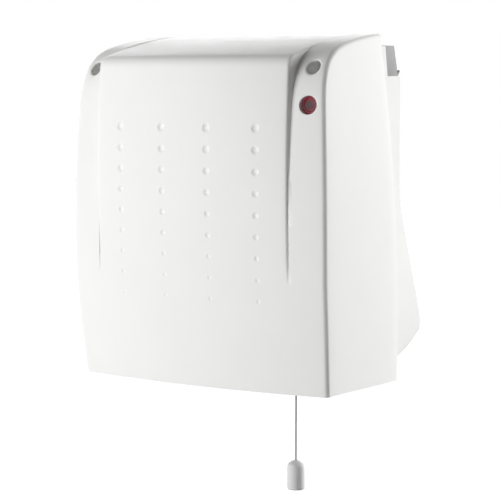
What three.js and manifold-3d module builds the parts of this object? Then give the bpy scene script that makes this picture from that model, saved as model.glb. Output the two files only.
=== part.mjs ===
// Bathroom wall fan heater: a pull-cord, downflow heater that hangs on a wall bracket.
//
// Millimetres. X runs along the wall (+X is the side with the neon and the pull cord),
// Y runs into the wall (the wall's face is Y = 0 and the room is on the -Y side) and Z is up.
// The pieces are drawn with Z = 0 at the cover's bottom edge; the last group lowers them all, so
// that the part's origin is the middle of the wall bracket's back face.

import * as THREE from 'three';
import { mergeVertices } from 'three/addons/utils/BufferGeometryUtils.js';
import Module from 'manifold-3d';

// ---------------------------------------------------------------- driving sizes

// Clearances
const GAP = 0.3; // between pieces that touch
const RUNNING_GAP = 0.4; // round pieces that turn or slide
const OVERRUN = 5; // how far a cutting shape runs past what it cuts
const BITE = 0.5; // how far two joined shapes run into each other

// Front cover
const COVER_WIDTH = 251.2; // at its widest, across the barrelled sides
const COVER_HEIGHT = 283;
const COVER_WALL = 2.4;
const WALL_TO_CORNER = 149.5; // the wall to the line through the front bottom corners
const SIDE_WIDEST_AT = 115;
const SIDE_ARC_RADIUS = 1700;
const FRONT_BULGE = 17.4;
const FRONT_FULLEST_AT = 200;
const FRONT_ARC_RADIUS = 1390;
const FRONT_BOW = 10.5; // how far the middle stands ahead of the sides, in plan
const REAR_EDGE_TO_WALL = 48.2; // at the bottom
const REAR_EDGE_LEAN = 0.076; // forward, for each millimetre up
const TOP_SLOPE = 0.11; // at the rear edge
const TOP_ARC_RADIUS = 515; // it falls off further towards the front
const CORNER_RADIUS = 4.5;
const SIDE_RAIL_WIDTH = 31.6; // on each side of the raised centre panel
const PANEL_HALF_WIDTH = COVER_WIDTH / 2 - SIDE_RAIL_WIDTH;
const PANEL_EDGE_RADIUS = 3;
const PANEL_DRAFT = 0.8;
const PANEL_NOSE_RADIUS = 8;
const RAIL_LEAN_FROM = 88; // height where the two side rails start to fall back
const RAIL_LEAN = 0.0494;
const RAIL_SHOULDER_DROP = 59; // from the top down to where a rail's shoulder starts
const RAIL_SHOULDER_REACH = 50; // how far back the shoulder ends
const SHOULDER_FULLNESS = 0.7;
const NOSE_FULLNESS = 0.55;

// Dimples pressed in the centre panel
const DIMPLE_COLUMNS = 4;
const DIMPLE_ROWS = 9;
const DIMPLE_COLUMN_PITCH = 44.6;
const DIMPLE_ROW_PITCH = 16.95;
const DIMPLE_BOTTOM_ROW_AT = 73;
const DIMPLE_TOP_DIAMETER = 8;
const DIMPLE_BOTTOM_DIAMETER = 3.6;
const DIMPLE_DEPTH_SHARE = 0.14; // of its diameter

// Cover screws, one at the top of each rail, and the neon below the right-hand one
const COVER_SCREW_BELOW_TOP = 27.5;
const COVER_SCREW_TO_SIDE = 11.8; // in from the cover's side at that height
const SCREW_CUP_BORE = 5.5;
const SCREW_CUP_WALL = 1.5;
const SCREW_CUP_FLOOR_AT = -131;
const SCREW_CUP_FLOOR = 2;
const COVER_SCREW_HEAD_RADIUS = 3.8;
const COVER_SCREW_HEAD_HEIGHT = 2.4;
const COVER_SCREW_SHANK_RADIUS = 1.9;
const COVER_SCREW_LENGTH = 26;
const NEON_BELOW_TOP = 56.3;
const NEON_BORE = 7.2;
const NEON_TUBE_WALL = 1.3;
const NEON_TUBE_DEPTH = 10;
const NEON_RIM_RECESS = 4.2; // the lens's rim behind the cover's face
const NEON_DOME_HEIGHT = 1.8;
const NEON_FLANGE_THICKNESS = 1.4;
const NEON_LAMP_RADIUS = 2.6;
const NEON_LAMP_LENGTH = 9;
const NEON_LAMP_NOSE = 3; // the lamp's tip behind the lens's rim
const NEON_HOLDER_RADIUS = 4.2;
const NEON_HOLDER_LENGTH = 7;
const NEON_HOLDER_TO_CASING = 0.77; // its side to the casing's inside

// Back casing
const CASING_SIDE_GAP = 1.34; // to the cover's wall where the sides are narrowest
const CASING_WALL = 2.2;
const CASING_NEON_GAP = 4.3; // the casing's front edges behind the neon's flange
const CASING_FLOOR_AT = 6;
const CASING_STANDOFF = 35.8; // the upper back to the wall
const CASING_BACK_BOTTOM_AT = 160; // where the upper back turns into the heel
const CASING_BACK_BELOW_TOP = 34; // the notch for the hanger rail
const CASING_NOTCH_DEPTH = 39;
const CASING_TOP_BELOW_TOP = 21;
const COVER_NARROWEST = Math.min(halfWidth(0), halfWidth(COVER_HEIGHT - CASING_TOP_BELOW_TOP));
const CASING_HALF_WIDTH = COVER_NARROWEST - COVER_WALL - CASING_SIDE_GAP;
const CASING_SHOULDER_RUN = 34;
const CASING_SHOULDER_DROP = 26;
const CASING_LIP_GAP = 1; // the floor's bowed front edge to the cover
const HEEL_TOP_AT = 46;
const HEEL_LAND = 6; // the flat strip that bears on the wall
const HEEL_CORNER = 5; // how far the rounding below it reaches
const HEEL_FLOOR_TO_WALL = 52;
const HEEL_FLOOR_AT = 13.5;

// Air inlet in the upper back
const INLET_TO_SIDE = 31.5; // in from the casing's side
const INLET_HALF_WIDTH = CASING_HALF_WIDTH - INLET_TO_SIDE;
const INLET_TOP_BELOW_NOTCH = 16;
const INLET_BOTTOM_ABOVE_HEEL = 14;
const INLET_CORNER_RADIUS = 4;
const INLET_FLANGE = 5;
const INLET_FLANGE_THICKNESS = 1.4;
const INLET_SLOTS = 13;
const INLET_RIB = 3;

// Fastening of the cover
const COVER_BOSS_RADIUS = 5.5;
const COVER_HOOK_AT = 60;
const COVER_HOOK_WIDTH = 14;
const COVER_HOOK_REACH = 3;

// Air outlet in the floor
const OUTLET_MARGIN = 3; // in from the air duct on each side
const OUTLET_FLANGE = 5;
const OUTLET_FLANGE_THICKNESS = 1.6;
const OUTLET_BARS = 5;
const OUTLET_BAR_THICKNESS = 1.6;
const OUTLET_CROSS_BARS = 3;
const OUTLET_DEPTH = 6;

// Hanger rail on the casing, and the bracket on the wall
const STEEL = 1.2;
const HANGER_TOP_TO_WALL = 58.8;
const HANGER_BOTTOM_TO_WALL = 54;
const HANGER_HEIGHT = 24.5;
const HANGER_EAR_TOP = 13.5;
const HANGER_EAR_BOTTOM = 15.3;
const HANGER_EAR_TO_NOTCH = 2; // its front edge to the front wall of the casing's notch
const HANGER_LIP_RUN = 3.2;
const HANGER_LIP_RISE = 4.1;
const HANGER_HOOK_DROP = 4;
const HANGER_SCREW_TO_SIDE = 15.5;
const HANGER_SCREW_AT = CASING_HALF_WIDTH - HANGER_SCREW_TO_SIDE;
const HANGER_SCREW_LENGTH = 9;
const BRACKET_TO_SIDE = 31.5; // in from the casing's side
const BRACKET_HALF_WIDTH = CASING_HALF_WIDTH - BRACKET_TO_SIDE;
const BRACKET_STEEL = 1.5;
const BRACKET_HEIGHT = 46;
const BRACKET_ARM_BELOW_HANGER_TOP = 12.4;
const BRACKET_KEYHOLE_AT = 60;
const BRACKET_KEYHOLE_RADIUS = 4.5;
const BRACKET_SLOT_RADIUS = 2.3;
const BRACKET_SLOT_LENGTH = 9;

// Fan unit
const FAN_AXIS_TO_WALL = 92;
const FAN_AXIS_AT = 122;
const IMPELLER_RADIUS = 25;
const IMPELLER_BLADES = 18;
const BLADE_DEPTH = 6.5; // radially
const BLADE_THICKNESS = 0.8;
const BLADE_CAMBER = 2.2;
const BLADE_LEAN = 0.5; // radians, forward
const IMPELLER_DISC = 1.6;
const IMPELLER_HUB_RADIUS = 6;
const IMPELLER_HUB_LENGTH = 7;
const SHAFT_RADIUS = 2.5;
const FAN_LEFT_MARGIN = 12; // the casing's left side to the left fan plate
const MOTOR_BAY = 52; // the right fan plate to the casing's right side
const FAN_PLATE = 1;
const FAN_PLATE_TOP_AT = 160;
const FAN_PLATE_BOTTOM_AT = 24;
const FAN_PLATE_FRONT_TO_WALL = 128;
const FAN_PLATE_REAR_TO_WALL = 46;
const FAN_PLATE_FOOT = 9;
const FAN_SCREWS_TO_WALL = [62, 86];
const FAN_SCREW_LENGTH = 9;
const FAN_END_GAP = 3; // impeller to each fan plate
const BUSH_RADIUS = 5;
const BUSH_STICKOUT = 3.5;
const BUSH_MOUNT_RADIUS = 8;
const BUSH_MOUNT_FLANGE = 3;
const GUIDE_STEEL = 0.8;
const SCROLL_START_GAP = 3; // round the impeller
const SCROLL_END_GAP = 15;
const CUTOFF_GAP = 3;
const SCROLL_START_RADIUS = IMPELLER_RADIUS + SCROLL_START_GAP;
const SCROLL_END_RADIUS = IMPELLER_RADIUS + SCROLL_END_GAP;
const CUTOFF_RADIUS = IMPELLER_RADIUS + CUTOFF_GAP;
const DUCT_REAR_TO_WALL = 58;
const DUCT_FRONT_TO_WALL = 112;
const DUCT_BOTTOM_AT = 26;

// Motor
const MOTOR_PLATE_GAP = 8; // the fan plate to the stack
const MOTOR_STACK = 16;
const MOTOR_CORE_WIDTH = 48;
const MOTOR_CORE_TOP = 24; // above the shaft
const MOTOR_CORE_BOTTOM = 40; // below the shaft
const MOTOR_LEG = 11;
const MOTOR_POLE = 3.5; // the iron left between the rotor and the coil's window
const ROTOR_RADIUS = 11.5;
const ROTOR_AIR_GAP = 0.5;
const MOTOR_COIL_WALL = 6;
const MOTOR_COIL_WIDTH = 18;
const MOTOR_BRACKET_THICKNESS = 3;
const MOTOR_BRACKET_HEIGHT = 12;
const MOTOR_BEARING_RADIUS = 6;
const MOTOR_BEARING_STICKOUT = 1.5;
const MOTOR_SCREW_SPREAD = 18;
const MOTOR_SCREW_RADIUS = 1.6;
const MOTOR_STANDOFF_RADIUS = 3.5;

// Heating element
const ELEMENT_CARD = 0.8;
const ELEMENT_CARD_HEIGHT = 26;
const ELEMENT_BOTTOM_AT = 28;
const ELEMENT_RIBBONS = 3;
const ELEMENT_RIBBON_HEIGHT = 5;
const ELEMENT_RIBBON_THICKNESS = 0.6;
const ELEMENT_FOLD_PITCH = 8;
const ELEMENT_SIDE_GAP = 3;

// Pull switch, cord and knob
const CORD_TO_SIDE = 33.7; // in from the casing's side
const CORD_AT = CASING_HALF_WIDTH - CORD_TO_SIDE;
const CORD_TO_WALL = 137.5;
const CORD_RADIUS = 0.7;
const CORD_SIDES = 8;
const CORD_STEPS = 24;
const CORD_TRAVEL = 8;
const LEVER_TILT = THREE.MathUtils.degToRad(12); // up at rest, and as far down when pulled
const LEVER_AT = 47;
const LEVER_LENGTH = CORD_TRAVEL / (2 * Math.sin(LEVER_TILT));
const LEVER_WIDTH = 6;
const LEVER_THICKNESS = 3;
const LEVER_HUB_RADIUS = 4;
const LEVER_PIN_RADIUS = 1.5;
const LEVER_EYE_GAP = 0.9; // round the cord, so that the lever can tilt
const SWITCH_WIDTH = 26;
const SWITCH_TOP_AT = 60;
const SWITCH_DEPTH = 28;
const SWITCH_SLOT_BOTTOM_AT = 34;
const SWITCH_SLOT_WIDTH = 15;
const SWITCH_SCREW_SPREAD = 16;
const SWITCH_SCREW_LENGTH = 10;
const SWITCH_WIRE_HOLE_DEPTH = 6;
const SPRING_WIRE_RADIUS = 0.35;
const SPRING_COIL_RADIUS = 2.9;
const SPRING_COILS = 3;
const EYELET_BORE = 1.6;
const EYELET_RADIUS = 3.6;
const EYELET_FLANGE = 5.5;
const EYELET_FLANGE_THICKNESS = 1.5;
const EYELET_STANDUP = 2;
const CORD_STOP_RADIUS = 2.4;
const CORD_STOP_HEIGHT = 3;
const KNOB_TOP_AT = -55.5;
const KNOB_HEIGHT = 23.5;
const KNOB_TOP_RADIUS = 6.8;
const KNOB_BOTTOM_RADIUS = 7.2;
const KNOB_DOME_HEIGHT = 5.5;
const KNOB_EDGE_RADIUS = 1.6;
const KNOB_BORE_DEPTH = 7;

// Terminals, cut-outs and wiring
const TERMINAL_TO_SIDE = 14.5; // its middle, in from the casing's side
const TERMINAL_AT = 178;
const TERMINAL_WIDTH = 20;
const TERMINAL_DEPTH = 14;
const TERMINAL_POLE_PITCH = 10;
const TERMINAL_POLES = 3;
const TERMINAL_SCREW_RADIUS = 2.4;
const TERMINAL_WIRE_DEPTH = 8.4; // the wire holes behind the block's face
const CABLE_ENTRY_BELOW_NOTCH = 31;
const CABLE_ENTRY_RADIUS = 6;
const GROMMET_BORE = 3.8;
const GROMMET_FLANGE = 9;
const GROMMET_FLANGE_THICKNESS = 1.8;
const CUTOUT_RADIUS = 8;
const CUTOUT_HEIGHT = 7;
const CUTOUT_AT = -60;
const CUTOUT_TAB = { thickness: 0.8, length: 6, width: 5 };
const WIRE_RADIUS = 1.1;
const WIRE_SIDES = 5;
const WIRE_STEP = 7;
const SMALL_SCREW_RADIUS = 1.7;
const SMALL_SCREW_HEAD_RADIUS = 3.2;
const SMALL_SCREW_HEAD_HEIGHT = 2;

// How finely curves are cut into flats
const ROUND = 20;
const SMALL_ROUND = 10;
const DIMPLE_ROUND = 6;
const LOWER_ROWS = 3;
const UPPER_ROWS = 5;
const SHOULDER_ROWS = 6;
const TOP_ROWS = 3;
const PANEL_COLUMNS = 8;
const RAIL_COLUMNS = 2;
const FILLET_STEPS = 2;
const HEEL_STEPS = 10;
const SCROLL_STEPS = 12;
const BLADE_STEPS = 2;

// ---------------------------------------------------------------- solids

const wasm = await Module();
wasm.setup();

const MERGE_DISTANCE = 1e-4;

// Merge shared corners, drop slivers that collapsed, and turn the faces outwards.
function closed(geometry) {
  const bare = geometry.clone();
  bare.deleteAttribute('normal');
  bare.deleteAttribute('uv');
  const merged = mergeVertices(bare, MERGE_DISTANCE);
  const corners = merged.index.array;
  const kept = [];
  for (let i = 0; i < corners.length; i += 3) {
    const [a, b, c] = [corners[i], corners[i + 1], corners[i + 2]];
    if (a !== b && b !== c && c !== a) kept.push(a, b, c);
  }
  if (signedVolume(merged.attributes.position, kept) < 0) kept.reverse();
  merged.setIndex(kept);
  return merged;
}

function signedVolume(position, corners) {
  const [a, b, c] = [new THREE.Vector3(), new THREE.Vector3(), new THREE.Vector3()];
  let volume = 0;
  for (let i = 0; i < corners.length; i += 3) {
    a.fromBufferAttribute(position, corners[i]);
    b.fromBufferAttribute(position, corners[i + 1]);
    c.fromBufferAttribute(position, corners[i + 2]);
    volume += a.dot(b.cross(c)) / 6;
  }
  return volume;
}

function toSolid(geometry) {
  const shape = closed(geometry);
  const mesh = new wasm.Mesh({
    numProp: 3,
    vertProperties: new Float32Array(shape.attributes.position.array),
    triVerts: new Uint32Array(shape.index.array),
  });
  return new wasm.Manifold(mesh);
}

function toGeometry(solid) {
  const mesh = solid.getMesh();
  const geometry = new THREE.BufferGeometry();
  geometry.setAttribute('position', new THREE.BufferAttribute(mesh.vertProperties, 3));
  geometry.setIndex(new THREE.BufferAttribute(mesh.triVerts, 1));
  return geometry;
}

function cut(base, ...tools) {
  return toGeometry(tools.reduce((solid, tool) => solid.subtract(toSolid(tool)), toSolid(base)));
}

function join(base, ...others) {
  return toGeometry(others.reduce((solid, other) => solid.add(toSolid(other)), toSolid(base)));
}

function common(base, other) {
  return toGeometry(toSolid(base).intersect(toSolid(other)));
}

// ---------------------------------------------------------------- basic shapes

function outlineShape(points, holes = []) {
  const shape = new THREE.Shape(points.map(([a, b]) => new THREE.Vector2(a, b)));
  shape.holes = holes;
  return shape;
}

function extrude(shape, depth, curveSegments = ROUND / 2) {
  return new THREE.ExtrudeGeometry(shape, { depth, bevelEnabled: false, steps: 1, curveSegments });
}

// A (y, z) shape extruded along X.
function prismX(shape, x0, x1, segments) {
  const turn = new THREE.Matrix4().set(0, 0, 1, x0, 1, 0, 0, 0, 0, 1, 0, 0, 0, 0, 0, 1);
  return extrude(shape, x1 - x0, segments).applyMatrix4(turn);
}

// An (x, z) shape extruded along Y.
function prismY(shape, y0, y1, segments) {
  const turn = new THREE.Matrix4().set(1, 0, 0, 0, 0, 0, -1, y1, 0, 1, 0, 0, 0, 0, 0, 1);
  return extrude(shape, y1 - y0, segments).applyMatrix4(turn);
}

// An (x, y) shape extruded along Z.
function prismZ(shape, z0, z1, segments) {
  return extrude(shape, z1 - z0, segments).translate(0, 0, z0);
}

function box(x0, x1, y0, y1, z0, z1) {
  const geometry = new THREE.BoxGeometry(x1 - x0, y1 - y0, z1 - z0);
  return geometry.translate((x0 + x1) / 2, (y0 + y1) / 2, (z0 + z1) / 2);
}

function rectangle(a0, a1, b0, b1) {
  return outlineShape([[a0, b0], [a1, b0], [a1, b1], [a0, b1]]);
}

function roundedRectangle(a0, a1, b0, b1, radius) {
  const shape = new THREE.Shape();
  shape.absarc(a1 - radius, b0 + radius, radius, -Math.PI / 2, 0);
  shape.absarc(a1 - radius, b1 - radius, radius, 0, Math.PI / 2);
  shape.absarc(a0 + radius, b1 - radius, radius, Math.PI / 2, Math.PI);
  shape.absarc(a0 + radius, b0 + radius, radius, Math.PI, 1.5 * Math.PI);
  shape.closePath();
  return shape;
}

const lathed = {
  x: (geometry) => geometry.rotateZ(-Math.PI / 2),
  y: (geometry) => geometry,
  z: (geometry) => geometry.rotateX(Math.PI / 2),
};

// A turned piece: [radius, distance along the axis] points, starting and ending on the axis.
function turned(axis, profile, at, segments = SMALL_ROUND) {
  const points = profile.map(([radius, along]) => new THREE.Vector2(radius, along));
  const geometry = lathed[axis](new THREE.LatheGeometry(points, segments));
  return closed(geometry.translate(at.x, at.y, at.z));
}

function rod(axis, radius, from, to, at, segments = SMALL_ROUND) {
  return turned(axis, [[0, from], [radius, from], [radius, to], [0, to]], at, segments);
}

// A tube wall: a turned ring whose profile closes on itself.
function ring(axis, inner, outer, from, to, at, segments = ROUND) {
  const profile = [[inner, from], [outer, from], [outer, to], [inner, to], [inner, from]];
  return turned(axis, profile, at, segments);
}

// A screw whose head's outer face is at 0 and whose shank runs along the axis in the given sense.
function screw(axis, sense, at, { head, headHeight, shank, length }) {
  const slotWidth = head * 0.28;
  const slotDepth = headHeight * 0.4;
  const profile = [
    [0, 0], [head * 0.75, 0], [head, headHeight * 0.45], [head, headHeight],
    [shank, headHeight], [shank, length - shank], [0, length],
  ];
  const body = turned(axis, profile.map(([r, a]) => [r, sense * a]), { x: 0, y: 0, z: 0 });
  const half = slotWidth / 2;
  const slot = {
    x: () => box(-OVERRUN, slotDepth, -half, half, -head * 2, head * 2),
    y: () => box(-head * 2, head * 2, -OVERRUN, slotDepth, -half, half),
    z: () => box(-head * 2, head * 2, -half, half, -OVERRUN, slotDepth),
  }[axis]();
  return cut(body, slot.scale(sense, sense, sense)).translate(at.x, at.y, at.z);
}

function smallScrew(axis, sense, at, length) {
  return screw(axis, sense, at, {
    head: SMALL_SCREW_HEAD_RADIUS,
    headHeight: SMALL_SCREW_HEAD_HEIGHT,
    shank: SMALL_SCREW_RADIUS,
    length,
  });
}

function bezier(p0, p1, p2, p3, steps) {
  const [a, b, c, d] = [p0, p1, p2, p3].map(([u, v]) => new THREE.Vector2(u, v));
  return new THREE.CubicBezierCurve(a, b, c, d).getPoints(steps).map((p) => [p.x, p.y]);
}

function arc(centre, radius, from, to, steps) {
  return Array.from({ length: steps + 1 }, (_, i) => {
    const angle = from + ((to - from) * i) / steps;
    return [centre[0] + radius * Math.cos(angle), centre[1] + radius * Math.sin(angle)];
  });
}

// Move a line of points to the right of its direction of travel, with mitred corners.
function offsetLine(line, distance) {
  const normals = lineNormals(line);
  return line.map(([a, b], i) => [a + normals[i][0] * distance, b + normals[i][1] * distance]);
}

// A bent sheet: a line of points given a thickness to the right of its direction of travel.
function sheetOutline(line, thickness) {
  return outlineShape([...line, ...offsetLine(line, thickness).reverse()]);
}

// Normals to the right of a line's direction of travel, lengthened at corners for a full mitre.
function lineNormals(line) {
  const sides = line.slice(1).map(([a, b], i) => {
    const [a0, b0] = line[i];
    const length = Math.hypot(a - a0, b - b0);
    return [(b - b0) / length, -(a - a0) / length];
  });
  return line.map((_, i) => {
    const [before, after] = [sides[Math.max(0, i - 1)], sides[Math.min(sides.length - 1, i)]];
    const sum = [before[0] + after[0], before[1] + after[1]];
    const mitre = 2 / (sum[0] ** 2 + sum[1] ** 2);
    return [sum[0] * mitre, sum[1] * mitre];
  });
}

function tube(points, radius, sides, steps) {
  const curve = new THREE.CatmullRomCurve3(points.map((p) => new THREE.Vector3(...p)), false, 'centripetal');
  return tubeAlong(curve, radius, sides, steps);
}

function tubeAlong(curve, radius, sides, steps) {
  const section = Array.from({ length: sides }, (_, i) => {
    const angle = (2 * Math.PI * i) / sides;
    return [radius * Math.cos(angle), radius * Math.sin(angle)];
  });
  return new THREE.ExtrudeGeometry(outlineShape(section), { steps, extrudePath: curve, curveSegments: 1 });
}

// ---------------------------------------------------------------- the cover's surface

function halfWidth(z) {
  return COVER_WIDTH / 2 - (z - SIDE_WIDEST_AT) ** 2 / (2 * SIDE_ARC_RADIUS);
}

function panelY(z) {
  const bulge = FRONT_BULGE - (z - FRONT_FULLEST_AT) ** 2 / (2 * FRONT_ARC_RADIUS);
  return -WALL_TO_CORNER - bulge;
}

function railY(z) {
  return panelY(z) + RAIL_LEAN * Math.max(0, z - RAIL_LEAN_FROM);
}

function rearEdgeY(z) {
  return -REAR_EDGE_TO_WALL - REAR_EDGE_LEAN * z;
}

function topZ(y) {
  const ahead = rearEdgeY(COVER_HEIGHT) - y;
  return COVER_HEIGHT - TOP_SLOPE * ahead - ahead ** 2 / (2 * TOP_ARC_RADIUS);
}

function topSlope(y) {
  return TOP_SLOPE + (rearEdgeY(COVER_HEIGHT) - y) / TOP_ARC_RADIUS;
}

function bow(x, z) {
  return FRONT_BOW * (1 - (x / halfWidth(z)) ** 2);
}

// The cover's side profile as rows of [y, z]: up the front, round the shoulder, back along the top.
// The raised panel and the rails share the lower rows, so that the panel grows out of the front.
function coverProfile(frontY, shoulderAt, shoulderReach, fullness) {
  const rows = [];
  for (let i = 0; i < LOWER_ROWS; i += 1) {
    const z = (RAIL_LEAN_FROM * i) / LOWER_ROWS;
    rows.push([frontY(z), z]);
  }
  for (let i = 0; i < UPPER_ROWS; i += 1) {
    const z = RAIL_LEAN_FROM + ((shoulderAt - RAIL_LEAN_FROM) * i) / UPPER_ROWS;
    rows.push([frontY(z), z]);
  }
  const start = [frontY(shoulderAt), shoulderAt];
  const endY = start[0] + shoulderReach;
  const end = [endY, topZ(endY)];
  const rise = (end[1] - start[1]) * fullness;
  const run = shoulderReach * fullness;
  const lean = frontY(shoulderAt + 1) - frontY(shoulderAt);
  const fall = run * topSlope(end[0]);
  const handles = [[start[0] + lean * rise, start[1] + rise], [end[0] - run, end[1] - fall]];
  rows.push(...bezier(start, ...handles, end, SHOULDER_ROWS).slice(0, -1));
  const rear = rearEdgeY(COVER_HEIGHT);
  for (let i = 0; i <= TOP_ROWS; i += 1) {
    const y = endY + ((rear - endY) * i) / TOP_ROWS;
    rows.push([y, topZ(y)]);
  }
  return rows;
}

function panelProfile() {
  const shoulderAt = topZ(panelY(COVER_HEIGHT)) - PANEL_NOSE_RADIUS;
  return coverProfile(panelY, shoulderAt, PANEL_NOSE_RADIUS, NOSE_FULLNESS);
}

function railProfile() {
  return coverProfile(railY, COVER_HEIGHT - RAIL_SHOULDER_DROP, RAIL_SHOULDER_REACH, SHOULDER_FULLNESS);
}

// Move a profile inwards by the wall, and run it past the bottom and the rear edge.
function insetProfile(rows, inset) {
  const moved = offsetLine(rows, inset);
  const last = moved.at(-1);
  const ahead = [moved[0][0], moved[0][1] - OVERRUN];
  const behind = [last[0] + OVERRUN, last[1] + OVERRUN * TOP_SLOPE];
  return [ahead, ...moved, behind];
}

// The lines that run up the cover, from the left side to the right: how far out each lies at a
// height, which profile it follows, and how far it drops below that profile to round an edge.
function coverStations(inset, stepAt) {
  const cornerRadius = CORNER_RADIUS - inset;
  const panelHalf = PANEL_HALF_WIDTH - inset;
  const edgeRadius = PANEL_EDGE_RADIUS;
  const side = (z) => halfWidth(z) - inset;
  const right = [];
  for (let i = 0; i <= FILLET_STEPS; i += 1) {
    const angle = (Math.PI / 2) * (i / FILLET_STEPS);
    const limit = (row) => Math.min(edgeRadius, stepAt(row));
    right.push({
      profile: 'panel',
      at: () => panelHalf - edgeRadius + edgeRadius * Math.sin(angle),
      drop: (row) => limit(row) * (1 - Math.cos(angle)),
    });
  }
  for (let i = 0; i <= RAIL_COLUMNS; i += 1) {
    const inner = panelHalf + PANEL_DRAFT;
    const share = i / RAIL_COLUMNS;
    right.push({
      profile: 'rail',
      at: (z) => inner + (side(z) - cornerRadius - inner) * share,
      drop: () => 0,
    });
  }
  for (let i = 1; i <= FILLET_STEPS; i += 1) {
    const angle = (Math.PI / 2) * (i / FILLET_STEPS);
    right.push({
      profile: 'rail',
      at: (z) => side(z) - cornerRadius + cornerRadius * Math.sin(angle),
      drop: () => cornerRadius * (1 - Math.cos(angle)),
    });
  }
  const left = right.map((line) => ({ ...line, at: (z) => -line.at(z) })).reverse();
  const middle = [];
  for (let i = 1; i < PANEL_COLUMNS; i += 1) {
    const reach = panelHalf - edgeRadius;
    middle.push({
      profile: 'panel',
      at: () => -reach + (2 * reach * i) / PANEL_COLUMNS,
      drop: () => 0,
    });
  }
  return [...left, ...middle, ...right];
}

// One closed block under the cover's skin. Every row is a level rung from the skin back to the
// cover's rear edge, so the sides are barrelled evenly.
function coverBlock(inset) {
  const profiles = { panel: panelProfile(), rail: railProfile() };
  if (inset > 0) {
    profiles.panel = insetProfile(profiles.panel, inset);
    profiles.rail = insetProfile(profiles.rail, inset);
  }
  const reach = inset > 0 ? OVERRUN : 0;
  const rows = profiles.panel.length;
  const lastFrontRow = rows - TOP_ROWS - 1 - (inset > 0 ? 1 : 0);
  const normals = { panel: lineNormals(profiles.panel), rail: lineNormals(profiles.rail) };
  const stepAt = (row) => {
    const [panelPoint, railPoint] = [profiles.panel[row], profiles.rail[row]];
    return Math.hypot(panelPoint[0] - railPoint[0], panelPoint[1] - railPoint[1]);
  };
  const skin = (line, row) => {
    const [y, z] = profiles[line.profile][row];
    const [ny, nz] = normals[line.profile][row];
    const x = line.at(z);
    const fade = Math.min(1, (rows - 1 - row) / (rows - 1 - lastFrontRow));
    const drop = line.drop(row);
    return new THREE.Vector3(x, y - bow(x, z) * fade + ny * drop, z + nz * drop);
  };
  const stations = coverStations(inset, stepAt);
  const front = stations.map((line) => profiles.panel.map((_, row) => skin(line, row)));
  const rear = front.map((column) =>
    column.map((p, row) => {
      const y = row === rows - 1 ? p.y : rearEdgeY(p.z) + reach;
      return new THREE.Vector3(p.x, y, p.z);
    }),
  );
  return ladderBlock(front, rear);
}

// A closed body between two sheets of points that share their last row.
function ladderBlock(front, rear) {
  const position = [];
  const triangle = (a, b, c) => [a, b, c].forEach((p) => position.push(p.x, p.y, p.z));
  const quad = (a, b, c, d) => {
    triangle(a, b, c);
    triangle(a, c, d);
  };
  const lastColumn = front.length - 1;
  const lastRow = front[0].length - 1;
  for (let i = 0; i < lastColumn; i += 1) {
    for (let j = 0; j < lastRow; j += 1) {
      quad(front[i][j], front[i + 1][j], front[i + 1][j + 1], front[i][j + 1]);
      quad(rear[i][j], rear[i][j + 1], rear[i + 1][j + 1], rear[i + 1][j]);
    }
    quad(front[i][0], rear[i][0], rear[i + 1][0], front[i + 1][0]);
  }
  for (let j = 0; j < lastRow; j += 1) {
    quad(front[0][j], front[0][j + 1], rear[0][j + 1], rear[0][j]);
    quad(front[lastColumn][j], rear[lastColumn][j], rear[lastColumn][j + 1], front[lastColumn][j + 1]);
  }
  const geometry = new THREE.BufferGeometry();
  geometry.setAttribute('position', new THREE.Float32BufferAttribute(position, 3));
  return closed(geometry);
}

// ---------------------------------------------------------------- places shared by several pieces

const SIDES = { left: -1, right: 1 };
const coverScrewZ = COVER_HEIGHT - COVER_SCREW_BELOW_TOP;
const coverScrewX = halfWidth(coverScrewZ) - COVER_SCREW_TO_SIDE;
const cupEnd = SCREW_CUP_FLOOR_AT + SCREW_CUP_FLOOR;

const neonZ = COVER_HEIGHT - NEON_BELOW_TOP;
const casingInside = CASING_HALF_WIDTH - CASING_WALL;
const neonX = casingInside - NEON_HOLDER_RADIUS - NEON_HOLDER_TO_CASING;
const neonFaceY = railY(neonZ) - bow(neonX, neonZ);
const neonTubeEnd = neonFaceY + NEON_TUBE_DEPTH;
const neonFlangeEnd = neonTubeEnd + GAP + NEON_FLANGE_THICKNESS;
const neonRimY = neonFaceY + NEON_RIM_RECESS;

const casingFloorTop = CASING_FLOOR_AT + CASING_WALL;
const casingBackY = -CASING_STANDOFF;
const casingFront = neonFlangeEnd + CASING_NEON_GAP;
const casingTop = COVER_HEIGHT - CASING_TOP_BELOW_TOP;
const notchZ = COVER_HEIGHT - CASING_BACK_BELOW_TOP;
const notchY = casingBackY - CASING_NOTCH_DEPTH;
const hangerTop = notchZ + GAP + HANGER_HEIGHT;
const bracketArmTop = hangerTop - BRACKET_ARM_BELOW_HANGER_TOP;
const bracketBottom = bracketArmTop - BRACKET_HEIGHT;
const bracketMiddle = (bracketArmTop + bracketBottom) / 2;

const leftPlateX = -casingInside + FAN_LEFT_MARGIN; // each plate's face towards the impeller
const rightPlateX = CASING_HALF_WIDTH - MOTOR_BAY;
const fanAxis = { x: 0, y: -FAN_AXIS_TO_WALL, z: FAN_AXIS_AT };
const impellerLeft = leftPlateX + FAN_END_GAP;
const impellerRight = rightPlateX - FAN_END_GAP;
const ductRear = -DUCT_REAR_TO_WALL;
const ductFront = -DUCT_FRONT_TO_WALL;

const stackLeft = rightPlateX + FAN_PLATE + MOTOR_PLATE_GAP;
const stackRight = stackLeft + MOTOR_STACK;
const outerBracketEnd = stackRight + GAP + MOTOR_BRACKET_THICKNESS;

const terminalX = CASING_HALF_WIDTH - TERMINAL_TO_SIDE;
const terminalFront = casingBackY - CASING_WALL - GAP - TERMINAL_DEPTH;

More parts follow.
